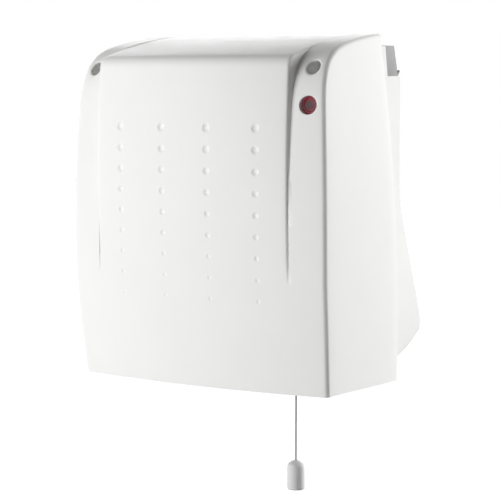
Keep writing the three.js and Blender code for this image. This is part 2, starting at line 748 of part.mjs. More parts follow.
const leverPivotY = -CORD_TO_WALL + LEVER_LENGTH * Math.cos(LEVER_TILT);
const leverTipZ = LEVER_AT + LEVER_LENGTH * Math.sin(LEVER_TILT);
const switchFront = leverPivotY - LEVER_HUB_RADIUS - 3;
const switchRear = switchFront + SWITCH_DEPTH;
const switchScrewY = switchRear - SMALL_SCREW_HEAD_RADIUS - 3;

// ---------------------------------------------------------------- outer casing

function frontCover() {
  const whole = coverBlock(0);
  const tubes = [];
  const bores = [];
  for (const side of Object.values(SIDES)) {
    const at = { x: side * coverScrewX, y: 0, z: coverScrewZ };
    const outside = -WALL_TO_CORNER - OVERRUN * 3;
    tubes.push(rod('y', SCREW_CUP_BORE + SCREW_CUP_WALL, outside, cupEnd, at, ROUND));
    bores.push(rod('y', SCREW_CUP_BORE, outside - OVERRUN, SCREW_CUP_FLOOR_AT, at, ROUND));
    bores.push(rod('y', COVER_SCREW_SHANK_RADIUS + GAP, outside, cupEnd + OVERRUN, at));
  }
  const neon = { x: neonX, y: 0, z: neonZ };
  tubes.push(rod('y', NEON_BORE + NEON_TUBE_WALL, neonFaceY - OVERRUN, neonTubeEnd, neon, ROUND));
  bores.push(rod('y', NEON_BORE, neonFaceY - OVERRUN * 2, neonTubeEnd + OVERRUN, neon, ROUND));
  const hooks = Object.values(SIDES).map((side) => coverHook(side));
  const shell = cut(whole, coverBlock(COVER_WALL));
  const fitted = [...tubes, ...hooks].map((piece) => common(piece, whole));
  return cut(join(shell, ...fitted), ...bores, ...dimples());
}

// A tab inside the cover's bottom edge that rides over the front edge of the casing's floor.
function coverHook(side) {
  const middle = side * COVER_HOOK_AT;
  const half = COVER_HOOK_WIDTH / 2;
  const bottom = casingFloorTop + GAP * 2;
  const end = casingFront + COVER_HOOK_REACH;
  return box(middle - half, middle + half, -WALL_TO_CORNER - FRONT_BULGE, end, bottom, bottom + COVER_WALL);
}

function coverScrew(side) {
  const seat = SCREW_CUP_FLOOR_AT - GAP - COVER_SCREW_HEAD_HEIGHT;
  return screw('y', 1, { x: side * coverScrewX, y: seat, z: coverScrewZ }, {
    head: COVER_SCREW_HEAD_RADIUS,
    headHeight: COVER_SCREW_HEAD_HEIGHT,
    shank: COVER_SCREW_SHANK_RADIUS,
    length: COVER_SCREW_LENGTH,
  });
}

function dimples() {
  const pits = [];
  for (let row = 0; row < DIMPLE_ROWS; row += 1) {
    const share = row / (DIMPLE_ROWS - 1);
    const radius = THREE.MathUtils.lerp(DIMPLE_BOTTOM_DIAMETER, DIMPLE_TOP_DIAMETER, share) / 2;
    const depth = radius * 2 * DIMPLE_DEPTH_SHARE;
    const z = DIMPLE_BOTTOM_ROW_AT + row * DIMPLE_ROW_PITCH;
    for (let column = 0; column < DIMPLE_COLUMNS; column += 1) {
      const x = (column - (DIMPLE_COLUMNS - 1) / 2) * DIMPLE_COLUMN_PITCH;
      const profile = [[0, -OVERRUN], [radius, -OVERRUN], [radius, 0], [0, depth]];
      pits.push(turned('y', profile, { x, y: panelY(z) - bow(x, z), z }, DIMPLE_ROUND));
    }
  }
  return pits;
}

// The casing's side outline.
function casingLine() {
  return [
    [casingFront, CASING_FLOOR_AT], [-HEEL_FLOOR_TO_WALL, CASING_FLOOR_AT], ...heelLine(),
    [casingBackY, notchZ], [notchY, notchZ], [notchY, casingTop],
  ];
}

function casingOutline() {
  const slopeEnd = [casingFront + CASING_SHOULDER_RUN, casingTop];
  const shoulder = [slopeEnd, [casingFront, casingTop - CASING_SHOULDER_DROP]];
  return outlineShape([...casingLine(), ...shoulder]);
}

// The same outline inside the wall, open to the front.
function hollowOutline() {
  const line = offsetLine(casingLine(), -CASING_WALL);
  const ahead = casingFront - OVERRUN;
  line[0][0] = ahead;
  line.at(-1)[1] = casingTop - CASING_WALL;
  return outlineShape([...line, [ahead, casingTop - CASING_WALL]]);
}

// The floor's front edge, bowed to follow the cover.
function floorLip() {
  const columns = PANEL_COLUMNS;
  const edge = Array.from({ length: columns + 1 }, (_, i) => {
    const x = CASING_HALF_WIDTH * ((2 * i) / columns - 1);
    const cover = panelY(CASING_FLOOR_AT) - bow(x, CASING_FLOOR_AT);
    return [x, cover + COVER_WALL + CASING_LIP_GAP];
  });
  const rear = casingFront + BITE;
  const outline = outlineShape([...edge, [CASING_HALF_WIDTH, rear], [-CASING_HALF_WIDTH, rear]]);
  return prismZ(outline, CASING_FLOOR_AT, casingFloorTop);
}

// From the floor's rear edge, under the heel, up its bearing strip and over to the upper back.
function heelLine() {
  const landBottom = HEEL_TOP_AT - HEEL_LAND;
  const start = [-HEEL_FLOOR_TO_WALL, HEEL_FLOOR_AT];
  const cornerStart = [-HEEL_CORNER, landBottom - HEEL_CORNER];
  const span = cornerStart[0] - start[0];
  const under = bezier(
    start,
    [start[0] + span * 0.3, start[1] + span * 0.1],
    [cornerStart[0] - span * 0.38, cornerStart[1] - span * 0.26],
    cornerStart,
    HEEL_STEPS / 2,
  );
  const corner = bezier(
    cornerStart,
    [-HEEL_CORNER * 0.4, landBottom - HEEL_CORNER * 0.55],
    [0, landBottom - HEEL_CORNER * 0.3],
    [0, landBottom],
    4,
  );
  const rise = CASING_BACK_BOTTOM_AT - HEEL_TOP_AT;
  const back = bezier(
    [0, HEEL_TOP_AT],
    [0, HEEL_TOP_AT + rise * 0.11],
    [casingBackY, CASING_BACK_BOTTOM_AT - rise * 0.22],
    [casingBackY, CASING_BACK_BOTTOM_AT],
    HEEL_STEPS,
  );
  return [...under, ...corner.slice(1), ...back];
}

function backCasing() {
  const whole = prismX(casingOutline(), -CASING_HALF_WIDTH, CASING_HALF_WIDTH);
  const hollow = prismX(hollowOutline(), -casingInside, casingInside);
  const shell = join(cut(whole, hollow), floorLip());
  const bosses = Object.values(SIDES).map((side) => {
    const at = { x: side * coverScrewX, y: 0, z: coverScrewZ };
    return rod('y', COVER_BOSS_RADIUS, cupEnd + GAP, notchY - CASING_WALL + BITE, at);
  });
  const cuts = Object.values(SIDES).map((side) => {
    const at = { x: side * coverScrewX, y: 0, z: coverScrewZ };
    return rod('y', COVER_SCREW_SHANK_RADIUS + GAP, cupEnd - OVERRUN, cupEnd + COVER_SCREW_LENGTH, at);
  });
  const inlet = inletWindow(0);
  cuts.push(prismY(inlet, casingBackY - OVERRUN, casingBackY + OVERRUN));
  cuts.push(prismZ(outletWindow(0), 0, casingFloorTop + OVERRUN));
  const eyelet = { x: CORD_AT, y: -CORD_TO_WALL, z: 0 };
  cuts.push(rod('z', EYELET_RADIUS + GAP, 0, casingFloorTop + OVERRUN, eyelet));
  for (const at of switchScrewPlaces()) {
    cuts.push(rod('z', SMALL_SCREW_RADIUS + GAP, 0, casingFloorTop + OVERRUN, at));
  }
  for (const side of Object.values(SIDES)) {
    for (const at of fanScrewPlaces(side)) {
      cuts.push(rod('z', SMALL_SCREW_RADIUS + GAP, 0, casingFloorTop + OVERRUN, at));
    }
    const at = hangerScrewPlace(side);
    cuts.push(rod('z', SMALL_SCREW_RADIUS + GAP, notchZ - OVERRUN, notchZ + OVERRUN, at));
  }
  const entry = cableEntryPlace();
  cuts.push(rod('y', CABLE_ENTRY_RADIUS, casingBackY - OVERRUN, casingBackY + OVERRUN, entry, ROUND));
  return cut(join(shell, ...bosses), ...cuts);
}

function inletWindow(margin) {
  const bottom = CASING_BACK_BOTTOM_AT + INLET_BOTTOM_ABOVE_HEEL;
  const top = notchZ - INLET_TOP_BELOW_NOTCH;
  const half = INLET_HALF_WIDTH - margin;
  return roundedRectangle(-half, half, bottom + margin, top - margin, INLET_CORNER_RADIUS);
}

function outletWindow(margin) {
  const inset = OUTLET_MARGIN + margin;
  return rectangle(leftPlateX + inset, rightPlateX - inset, ductFront + inset, ductRear - inset);
}

function hangerScrewPlace(side) {
  return { x: side * HANGER_SCREW_AT, y: -HANGER_BOTTOM_TO_WALL + HANGER_EAR_BOTTOM / 2, z: 0 };
}

function cableEntryPlace() {
  return { x: terminalX, y: 0, z: notchZ - CABLE_ENTRY_BELOW_NOTCH };
}

function switchScrewPlaces() {
  const spread = [-SWITCH_SCREW_SPREAD / 2, SWITCH_SCREW_SPREAD / 2];
  return spread.map((dx) => ({ x: CORD_AT + dx, y: switchScrewY, z: 0 }));
}

function fanScrewPlaces(side) {
  const face = side < 0 ? leftPlateX : rightPlateX;
  const x = face + side * (FAN_PLATE + FAN_PLATE_FOOT / 2);
  return FAN_SCREWS_TO_WALL.map((toWall) => ({ x, y: -toWall, z: 0 }));
}

// A flanged grille seen from inside the casing: it fills the window and its flange laps the wall.
function inletGrille() {
  const back = casingBackY - CASING_WALL - GAP;
  const flange = prismY(inletWindow(-INLET_FLANGE), back - INLET_FLANGE_THICKNESS, back);
  const plug = prismY(inletWindow(GAP), back - BITE, casingBackY);
  const bottom = CASING_BACK_BOTTOM_AT + INLET_BOTTOM_ABOVE_HEEL + INLET_CORNER_RADIUS;
  const top = notchZ - INLET_TOP_BELOW_NOTCH - INLET_CORNER_RADIUS;
  const middle = (bottom + top) / 2;
  const left = -INLET_HALF_WIDTH + INLET_CORNER_RADIUS;
  const pitch = (2 * INLET_HALF_WIDTH - 2 * INLET_CORNER_RADIUS + INLET_RIB) / INLET_SLOTS;
  const slots = [];
  for (let i = 0; i < INLET_SLOTS; i += 1) {
    const x = left + i * pitch;
    for (const [z0, z1] of [[bottom, middle - INLET_RIB / 2], [middle + INLET_RIB / 2, top]]) {
      slots.push(box(x, x + pitch - INLET_RIB, back - OVERRUN, OVERRUN + casingBackY, z0, z1));
    }
  }
  return cut(join(flange, plug), ...slots);
}

// Bars across the floor's opening, on a flange that lies on the floor inside.
function outletGrille() {
  const top = casingFloorTop + GAP + OUTLET_FLANGE_THICKNESS;
  const flange = prismZ(outletWindow(-OUTLET_MARGIN + GAP * 2), casingFloorTop + GAP, top);
  const plug = prismZ(outletWindow(GAP), top - OUTLET_DEPTH, top - BITE);
  const inset = OUTLET_MARGIN + GAP + OUTLET_BAR_THICKNESS;
  const [x0, x1] = [leftPlateX + inset, rightPlateX - inset];
  const [y0, y1] = [ductFront + inset, ductRear - inset];
  const rowPitch = (y1 - y0 + OUTLET_BAR_THICKNESS) / OUTLET_BARS;
  const columnPitch = (x1 - x0 + OUTLET_BAR_THICKNESS) / (OUTLET_CROSS_BARS + 1);
  const slots = [];
  for (let row = 0; row < OUTLET_BARS; row += 1) {
    for (let column = 0; column <= OUTLET_CROSS_BARS; column += 1) {
      const x = x0 + column * columnPitch;
      const y = y0 + row * rowPitch;
      const end = { x: x + columnPitch - OUTLET_BAR_THICKNESS, y: y + rowPitch - OUTLET_BAR_THICKNESS };
      slots.push(box(x, end.x, y, end.y, 0, top + OVERRUN));
    }
  }
  return cut(join(flange, plug), ...slots);
}

// ---------------------------------------------------------------- hanger rail and wall bracket

function hangerOutline() {
  const bottom = notchZ + GAP;
  const rear = -HANGER_BOTTOM_TO_WALL + HANGER_EAR_BOTTOM;
  const hookY = -HANGER_TOP_TO_WALL + HANGER_EAR_TOP;
  return [
    [rear + HANGER_LIP_RUN, bottom + HANGER_LIP_RISE],
    [rear, bottom],
    [-HANGER_BOTTOM_TO_WALL, bottom],
    [-HANGER_TOP_TO_WALL, hangerTop],
    [hookY, hangerTop],
    [hookY, hangerTop - HANGER_HOOK_DROP],
  ];
}

function hangerRail() {
  const line = hangerOutline();
  const end = CASING_HALF_WIDTH - GAP;
  const channel = prismX(sheetOutline(line, STEEL), -end, end);
  const front = notchY + HANGER_EAR_TO_NOTCH;
  const ear = outlineShape([line[1], [front, line[1][1]], [front, hangerTop], line[4]]);
  const ears = Object.values(SIDES).map((side) => {
    const [outer, inner] = [side * end, side * (end - STEEL)];
    return prismX(ear, Math.min(outer, inner), Math.max(outer, inner));
  });
  const holes = Object.values(SIDES).map((side) =>
    rod('z', SMALL_SCREW_RADIUS + GAP, notchZ, notchZ + OVERRUN, hangerScrewPlace(side)),
  );
  return cut(join(channel, ...ears), ...holes);
}

// Back plate on the wall, with an arm that reaches into the hanger rail and a lip that holds it.
function wallBracket() {
  const half = BRACKET_HALF_WIDTH;
  const armBottom = bracketArmTop - BRACKET_STEEL;
  const railLean = (HANGER_TOP_TO_WALL - HANGER_BOTTOM_TO_WALL) / HANGER_HEIGHT;
  const railFront = -HANGER_BOTTOM_TO_WALL - railLean * (armBottom - notchZ);
  const lipRear = railFront + STEEL + 2 * GAP + BRACKET_STEEL;
  const lipTop = hangerTop - STEEL - GAP;
  const plate = box(-half, half, -BRACKET_STEEL, 0, bracketBottom, bracketArmTop);
  const arm = sheetOutline([[lipRear, lipTop], [lipRear, bracketArmTop], [0, bracketArmTop]], BRACKET_STEEL);
  const cuts = Object.values(SIDES).flatMap((side) => keyhole(side * BRACKET_KEYHOLE_AT));
  return cut(join(plate, prismX(arm, -half, half)), ...cuts);
}

// Shapes that cut a keyhole: the wide hole below, the narrow slot above it.
function keyhole(x) {
  const bottom = bracketMiddle - BRACKET_SLOT_LENGTH / 2;
  const top = bottom + BRACKET_SLOT_LENGTH;
  const narrow = BRACKET_SLOT_RADIUS;
  return [
    rod('y', BRACKET_KEYHOLE_RADIUS, -OVERRUN, OVERRUN, { x, y: 0, z: bottom }, ROUND),
    rod('y', narrow, -OVERRUN, OVERRUN, { x, y: 0, z: top }),
    box(x - narrow, x + narrow, -OVERRUN, OVERRUN, bottom, top),
  ];
}

// ---------------------------------------------------------------- fan unit

function bladeOutline(angle) {
  const inner = IMPELLER_RADIUS - BLADE_DEPTH;
  const line = [];
  for (let i = 0; i <= BLADE_STEPS; i += 1) {
    const share = i / BLADE_STEPS;
    const radius = inner + BLADE_DEPTH * share;
    const camber = (BLADE_CAMBER * 4 * share * (1 - share)) / radius;
    const turn = angle + BLADE_LEAN * share + camber;
    line.push([fanAxis.y + radius * Math.cos(turn), fanAxis.z + radius * Math.sin(turn)]);
  }
  return sheetOutline(line, BLADE_THICKNESS);
}

function impeller() {
  const ends = [[impellerLeft, impellerLeft + IMPELLER_DISC], [impellerRight - IMPELLER_DISC, impellerRight]];
  const middle = (impellerLeft + impellerRight - IMPELLER_DISC) / 2;
  const outer = IMPELLER_RADIUS + BLADE_THICKNESS;
  const discs = ends.map(([x0, x1]) => rod('x', outer, x0, x1, fanAxis, ROUND));
  const inner = IMPELLER_RADIUS - BLADE_DEPTH - BLADE_CAMBER;
  discs.push(ring('x', inner, outer, middle, middle + IMPELLER_DISC, fanAxis));
  const hubLeft = [impellerLeft, impellerLeft + IMPELLER_HUB_LENGTH];
  const hubRight = [impellerRight - IMPELLER_HUB_LENGTH, impellerRight];
  const hubs = [hubLeft, hubRight].map(([x0, x1]) => rod('x', IMPELLER_HUB_RADIUS, x0, x1, fanAxis));
  const blades = Array.from({ length: IMPELLER_BLADES }, (_, i) => {
    const angle = (2 * Math.PI * i) / IMPELLER_BLADES;
    return prismX(bladeOutline(angle), impellerLeft + BITE, impellerRight - BITE);
  });
  const bore = SHAFT_RADIUS + GAP;
  const bores = [
    rod('x', bore, hubLeft[0] - OVERRUN, hubLeft[1] + OVERRUN, fanAxis),
    rod('x', bore, hubRight[0] - OVERRUN, hubRight[1] + OVERRUN, fanAxis),
  ];
  return cut(join(...discs, ...hubs, ...blades), ...bores);
}

function stubAxle() {
  const end = leftPlateX - FAN_PLATE - BUSH_STICKOUT - GAP;
  return rod('x', SHAFT_RADIUS, end, impellerLeft + IMPELLER_HUB_LENGTH, fanAxis);
}

function motorShaft() {
  return rod('x', SHAFT_RADIUS, impellerRight - IMPELLER_HUB_LENGTH, outerBracketEnd + BITE, fanAxis);
}

function axleBush() {
  const [x0, x1] = [leftPlateX - FAN_PLATE - BUSH_STICKOUT, leftPlateX + GAP];
  return ring('x', SHAFT_RADIUS + RUNNING_GAP, BUSH_RADIUS, x0, x1, fanAxis);
}

// Rubber ring that carries the bush in the left fan plate, with a flange outside the plate.
function bushMount() {
  const plate = leftPlateX - FAN_PLATE;
  const x0 = plate - BUSH_STICKOUT;
  const inner = BUSH_RADIUS + GAP;
  const flange = BUSH_MOUNT_RADIUS + BUSH_MOUNT_FLANGE;
  const profile = [
    [inner, x0], [flange, x0], [flange, plate - GAP], [BUSH_MOUNT_RADIUS, plate - GAP],
    [BUSH_MOUNT_RADIUS, leftPlateX + GAP], [inner, leftPlateX + GAP], [inner, x0],
  ];
  return turned('x', profile, fanAxis, ROUND);
}

// A steel end plate of the fan unit, with a foot screwed to the casing's floor.
function fanPlate(side) {
  const face = side < 0 ? leftPlateX : rightPlateX;
  const spread = (reach) => [face, face + side * reach].sort((a, b) => a - b);
  const bottom = casingFloorTop + GAP;
  const footFront = -FAN_SCREWS_TO_WALL[1] - FAN_PLATE_FOOT;
  const footRear = -FAN_SCREWS_TO_WALL[0] + FAN_PLATE_FOOT / 2;
  const waist = FAN_AXIS_AT - IMPELLER_RADIUS;
  const outline = outlineShape([
    [ductFront - OUTLET_FLANGE, FAN_PLATE_BOTTOM_AT], [footFront, FAN_PLATE_BOTTOM_AT],
    [footFront, bottom], [footRear, bottom], [ductRear + OUTLET_FLANGE, FAN_PLATE_BOTTOM_AT],
    [-FAN_PLATE_REAR_TO_WALL, waist], [-FAN_PLATE_REAR_TO_WALL, FAN_PLATE_TOP_AT],
    [-FAN_PLATE_FRONT_TO_WALL, FAN_PLATE_TOP_AT], [-FAN_PLATE_FRONT_TO_WALL, waist],
  ]);
  const plate = prismX(outline, ...spread(FAN_PLATE));
  const foot = box(...spread(FAN_PLATE + FAN_PLATE_FOOT), footFront, footRear, bottom, bottom + FAN_PLATE);
  const hole = (side < 0 ? BUSH_MOUNT_RADIUS : IMPELLER_HUB_RADIUS) + GAP;
  const cuts = [rod('x', hole, face - OVERRUN, face + OVERRUN, fanAxis, ROUND)];
  for (const at of fanScrewPlaces(side)) {
    cuts.push(rod('z', SMALL_SCREW_RADIUS + GAP, 0, FAN_PLATE_BOTTOM_AT, at));
  }
  if (side > 0) cuts.push(...motorScrewHoles(face - OVERRUN, face + OVERRUN));
  return cut(join(plate, foot), ...cuts);
}

// Sheet behind the impeller that opens out in a spiral, then runs down the back of the air duct.
function scrollGuide() {
  const [from, to] = [THREE.MathUtils.degToRad(75), THREE.MathUtils.degToRad(-35)];
  const line = [];
  for (let i = 0; i <= SCROLL_STEPS; i += 1) {
    const share = i / SCROLL_STEPS;
    const angle = from + (to - from) * share;
    const radius = SCROLL_START_RADIUS + (SCROLL_END_RADIUS - SCROLL_START_RADIUS) * share;
    line.push([fanAxis.y + radius * Math.cos(angle), fanAxis.z + radius * Math.sin(angle)]);
  }
  line.push([ductRear, ELEMENT_BOTTOM_AT + ELEMENT_CARD_HEIGHT + OVERRUN], [ductRear, DUCT_BOTTOM_AT]);
  return prismX(sheetOutline(line, -GUIDE_STEEL), leftPlateX + GAP, rightPlateX - GAP);
}

// Sheet in front of the impeller: a lip that parts the air, then the front of the air duct.
function cutoffGuide() {
  const [from, to] = [THREE.MathUtils.degToRad(205), THREE.MathUtils.degToRad(245)];
  const lip = arc([fanAxis.y, fanAxis.z], CUTOFF_RADIUS, from, to, SCROLL_STEPS / 3);
  const flare = [-FAN_PLATE_FRONT_TO_WALL + FAN_PLATE, fanAxis.z];
  const ductTop = [ductFront, lip.at(-1)[1] - CUTOFF_RADIUS / 2];
  const line = [flare, ...lip, ductTop, [ductFront, DUCT_BOTTOM_AT]];
  return prismX(sheetOutline(line, GUIDE_STEEL), leftPlateX + GAP, rightPlateX - GAP);
}

// ---------------------------------------------------------------- motor

function motorScrewPlaces() {
  const spread = [-MOTOR_SCREW_SPREAD, MOTOR_SCREW_SPREAD];
  return spread.map((dy) => ({ x: 0, y: fanAxis.y + dy, z: fanAxis.z }));
}

function motorScrewHoles(x0, x1) {
  return motorScrewPlaces().map((at) => rod('x', MOTOR_SCREW_RADIUS + GAP, x0, x1, at));
}

function motorCore() {
  const half = MOTOR_CORE_WIDTH / 2;
  const bottom = fanAxis.z - MOTOR_CORE_BOTTOM;
  const window = rectangle(
    fanAxis.y - half + MOTOR_LEG, fanAxis.y + half - MOTOR_LEG,
    bottom + MOTOR_LEG, fanAxis.z - ROTOR_RADIUS - ROTOR_AIR_GAP - MOTOR_POLE,
  );
  const outline = rectangle(fanAxis.y - half, fanAxis.y + half, bottom, fanAxis.z + MOTOR_CORE_TOP);
  outline.holes = [window];
  const stack = prismX(outline, stackLeft, stackRight);
  const air = ROTOR_RADIUS + ROTOR_AIR_GAP;
  const bore = rod('x', air, stackLeft - OVERRUN, stackRight + OVERRUN, fanAxis, ROUND);
  return cut(stack, bore, ...motorScrewHoles(stackLeft - OVERRUN, stackRight + OVERRUN));
}

// The winding round the core's bottom leg.
function motorCoil() {
  const half = MOTOR_COIL_WIDTH / 2;
  const bottom = fanAxis.z - MOTOR_CORE_BOTTOM;
  const top = bottom + MOTOR_LEG;
  const wall = MOTOR_COIL_WALL;
  const outer = roundedRectangle(stackLeft - wall, stackRight + wall, bottom - wall, top + wall, wall / 2);
  outer.holes = [rectangle(stackLeft - GAP, stackRight + GAP, bottom - GAP, top + GAP)];
  return prismY(outer, fanAxis.y - half, fanAxis.y + half, 4);
}

function rotor() {
  return ring('x', SHAFT_RADIUS + GAP, ROTOR_RADIUS, stackLeft, stackRight, fanAxis);
}

// A die-cast bar across the stack, with a bearing in its middle.
function motorBracket(x0, x1, ...others) {
  const half = { y: MOTOR_CORE_WIDTH / 2 - 1, z: MOTOR_BRACKET_HEIGHT / 2 };
  const bar = roundedRectangle(
    fanAxis.y - half.y, fanAxis.y + half.y, fanAxis.z - half.z, fanAxis.z + half.z, half.z / 2,
  );
  const [before, after] = [x0 - MOTOR_PLATE_GAP, x1 + OVERRUN];
  const bore = rod('x', SHAFT_RADIUS + RUNNING_GAP, before, after, fanAxis, ROUND);
  return cut(join(prismX(bar, x0, x1, 4), ...others), bore, ...motorScrewHoles(before, after));
}

// Stands off the fan plate on two posts.
function motorBracketInner() {
  const x1 = stackLeft - GAP;
  const x0 = x1 - MOTOR_BRACKET_THICKNESS;
  const bearing = rod('x', MOTOR_BEARING_RADIUS, x0 - MOTOR_BEARING_STICKOUT, x0 + BITE, fanAxis, ROUND);
  const posts = motorScrewPlaces().map((at) => {
    return rod('x', MOTOR_STANDOFF_RADIUS, rightPlateX + FAN_PLATE + GAP, x0 + BITE, at);
  });
  return motorBracket(x0, x1, bearing, ...posts);
}

function motorBracketOuter() {
  const x0 = stackRight + GAP;
  const bearingEnd = outerBracketEnd + MOTOR_BEARING_STICKOUT;
  const bearing = rod('x', MOTOR_BEARING_RADIUS, outerBracketEnd - BITE, bearingEnd, fanAxis, ROUND);
  return motorBracket(x0, outerBracketEnd, bearing);
}

function motorScrew(at) {
  const headEnd = outerBracketEnd + GAP + SMALL_SCREW_HEAD_HEIGHT;
  return screw('x', -1, { ...at, x: headEnd }, {
    head: SMALL_SCREW_HEAD_RADIUS,
    headHeight: SMALL_SCREW_HEAD_HEIGHT,
    shank: MOTOR_SCREW_RADIUS,
    length: headEnd - rightPlateX,
  });
}

// ---------------------------------------------------------------- heating element and cut-outs

const elementLeft = leftPlateX + ELEMENT_SIDE_GAP;
const elementRight = rightPlateX - ELEMENT_SIDE_GAP;
const frontCardRear = ductFront + GAP + ELEMENT_CARD;
const rearCardFront = ductRear - GAP - ELEMENT_CARD;
const cutoutFront = ductFront - GUIDE_STEEL - GAP - CUTOUT_HEIGHT;
const cutoutZ = ELEMENT_BOTTOM_AT + ELEMENT_CARD_HEIGHT;

function elementCard(y0) {
  const top = ELEMENT_BOTTOM_AT + ELEMENT_CARD_HEIGHT;
  return box(elementLeft, elementRight, y0, y0 + ELEMENT_CARD, ELEMENT_BOTTOM_AT, top);
}

// A resistance ribbon folded back and forth between the two mica cards.
function elementRibbon(index) {
  const folds = Math.floor((elementRight - elementLeft) / ELEMENT_FOLD_PITCH) - 1;
  const start = (elementLeft + elementRight - folds * ELEMENT_FOLD_PITCH) / 2;
  const ends = [frontCardRear + 3 * GAP, rearCardFront - 3 * GAP];
  const line = Array.from({ length: folds + 1 }, (_, i) => {
    const x = start + i * ELEMENT_FOLD_PITCH;
    return [[x, ends[i % 2]], [x, ends[(i + 1) % 2]]];
  }).flat();
  const pitch = ELEMENT_CARD_HEIGHT / ELEMENT_RIBBONS;
  const z = ELEMENT_BOTTOM_AT + pitch * (index + 0.5) - ELEMENT_RIBBON_HEIGHT / 2;
  return prismZ(sheetOutline(line, ELEMENT_RIBBON_THICKNESS), z, z + ELEMENT_RIBBON_HEIGHT);
}

// Self-resetting disc cut-out on the front of the air duct, with two tabs for its wires.
function thermalCutout() {
  const rear = cutoutFront + CUTOUT_HEIGHT;
  const base = rear - CUTOUT_HEIGHT * 0.3;
  const cap = CUTOUT_RADIUS * 0.8;
  const profile = [
    [0, cutoutFront], [cap, cutoutFront], [cap, base],
    [CUTOUT_RADIUS, base], [CUTOUT_RADIUS, rear], [0, rear],
  ];
  const tabs = Object.values(SIDES).map((side) => {
    const at = cutoutTabPlace(side);
    const [half, up] = [CUTOUT_TAB.thickness / 2, CUTOUT_TAB.width / 2];
    return box(at.x - half, at.x + half, at.y, cutoutFront + BITE, at.z - up, at.z + up);
  });
  return join(turned('y', profile, { x: CUTOUT_AT, y: 0, z: cutoutZ }, ROUND), ...tabs);
}

function cutoutTabPlace(side) {
  return { x: CUTOUT_AT + side * CUTOUT_RADIUS * 0.5, y: cutoutFront - CUTOUT_TAB.length, z: cutoutZ };
}

// ---------------------------------------------------------------- neon, terminals and cable entry

function neonLens() {
  const barrel = NEON_BORE - RUNNING_GAP;
  const flangeStart = neonTubeEnd + GAP;
  const hollow = NEON_LAMP_RADIUS + GAP * 2;
  const hollowEnd = neonRimY + NEON_LAMP_NOSE - 1;
  return turned('y', [
    [0, neonRimY - NEON_DOME_HEIGHT], [barrel * 0.5, neonRimY - NEON_DOME_HEIGHT * 0.85],
    [barrel * 0.85, neonRimY - NEON_DOME_HEIGHT * 0.4], [barrel, neonRimY],
    [barrel, flangeStart], [barrel + NEON_TUBE_WALL, flangeStart],
    [barrel + NEON_TUBE_WALL, neonFlangeEnd], [hollow, neonFlangeEnd], [hollow, hollowEnd], [0, hollowEnd],
  ], { x: neonX, y: 0, z: neonZ }, ROUND);
}

function neonLamp() {
  const nose = neonRimY + NEON_LAMP_NOSE;
  return turned('y', [
    [0, nose], [NEON_LAMP_RADIUS * 0.7, nose + 0.7], [NEON_LAMP_RADIUS, nose + 2],
    [NEON_LAMP_RADIUS, nose + NEON_LAMP_LENGTH], [0, nose + NEON_LAMP_LENGTH],
  ], { x: neonX, y: 0, z: neonZ });
}

function neonHolder() {
  const front = neonFlangeEnd + GAP;
  const rear = front + NEON_HOLDER_LENGTH;
  const lampEnd = neonRimY + NEON_LAMP_NOSE + NEON_LAMP_LENGTH + GAP;
  const bore = NEON_LAMP_RADIUS + GAP;
  return turned('y', [
    [bore, front], [NEON_HOLDER_RADIUS, front], [NEON_HOLDER_RADIUS, rear], [0, rear], [0, lampEnd],
    [bore, lampEnd], [bore, front],
  ], { x: neonX, y: 0, z: neonZ });
}

function terminalScrewPlaces() {
  return Array.from({ length: TERMINAL_POLES }, (_, i) => {
    const z = TERMINAL_AT + (i - (TERMINAL_POLES - 1) / 2) * TERMINAL_POLE_PITCH;
    return { x: terminalX, y: terminalFront, z };
  });
}

// Moulded block with a clamping screw and a wire hole for each pole.
function terminalBlock() {
  const half = { x: TERMINAL_WIDTH / 2, z: (TERMINAL_POLES * TERMINAL_POLE_PITCH) / 2 };
  const block = box(
    terminalX - half.x, terminalX + half.x, terminalFront, terminalFront + TERMINAL_DEPTH,
    TERMINAL_AT - half.z, TERMINAL_AT + half.z,
  );
  const cuts = terminalScrewPlaces().flatMap((at) => [
    rod('y', TERMINAL_SCREW_RADIUS + GAP, -OVERRUN, TERMINAL_WIRE_DEPTH, at),
    rod('x', WIRE_RADIUS + GAP, -TERMINAL_WIDTH, TERMINAL_WIDTH, {
      ...at, y: terminalFront + TERMINAL_WIRE_DEPTH,
    }, 2 * WIRE_SIDES),
  ]);
  return cut(block, ...cuts);
}

function terminalScrew(at) {
  return screw('y', 1, { ...at, y: at.y + 1 }, {
    head: TERMINAL_SCREW_RADIUS,
    headHeight: TERMINAL_SCREW_RADIUS,
    shank: TERMINAL_SCREW_RADIUS * 0.8,
    length: TERMINAL_WIRE_DEPTH - WIRE_RADIUS - 2,
  });
}

// Rubber ring in the casing's back where the supply cable comes in.
function cableGrommet() {
  const inside = casingBackY - CASING_WALL - GAP;
  const outside = casingBackY + GAP;
  const thickness = GROMMET_FLANGE_THICKNESS;
  const body = CABLE_ENTRY_RADIUS - GAP;
  return turned('y', [
    [GROMMET_BORE, inside - thickness], [GROMMET_FLANGE - 1, inside - thickness], [GROMMET_FLANGE, inside],
    [body, inside], [body, outside], [GROMMET_FLANGE, outside], [GROMMET_FLANGE - 1, outside + thickness],
    [GROMMET_BORE, outside + thickness], [GROMMET_BORE, inside - thickness],
  ], cableEntryPlace(), ROUND);
}

// ---------------------------------------------------------------- pull switch, cord and knob

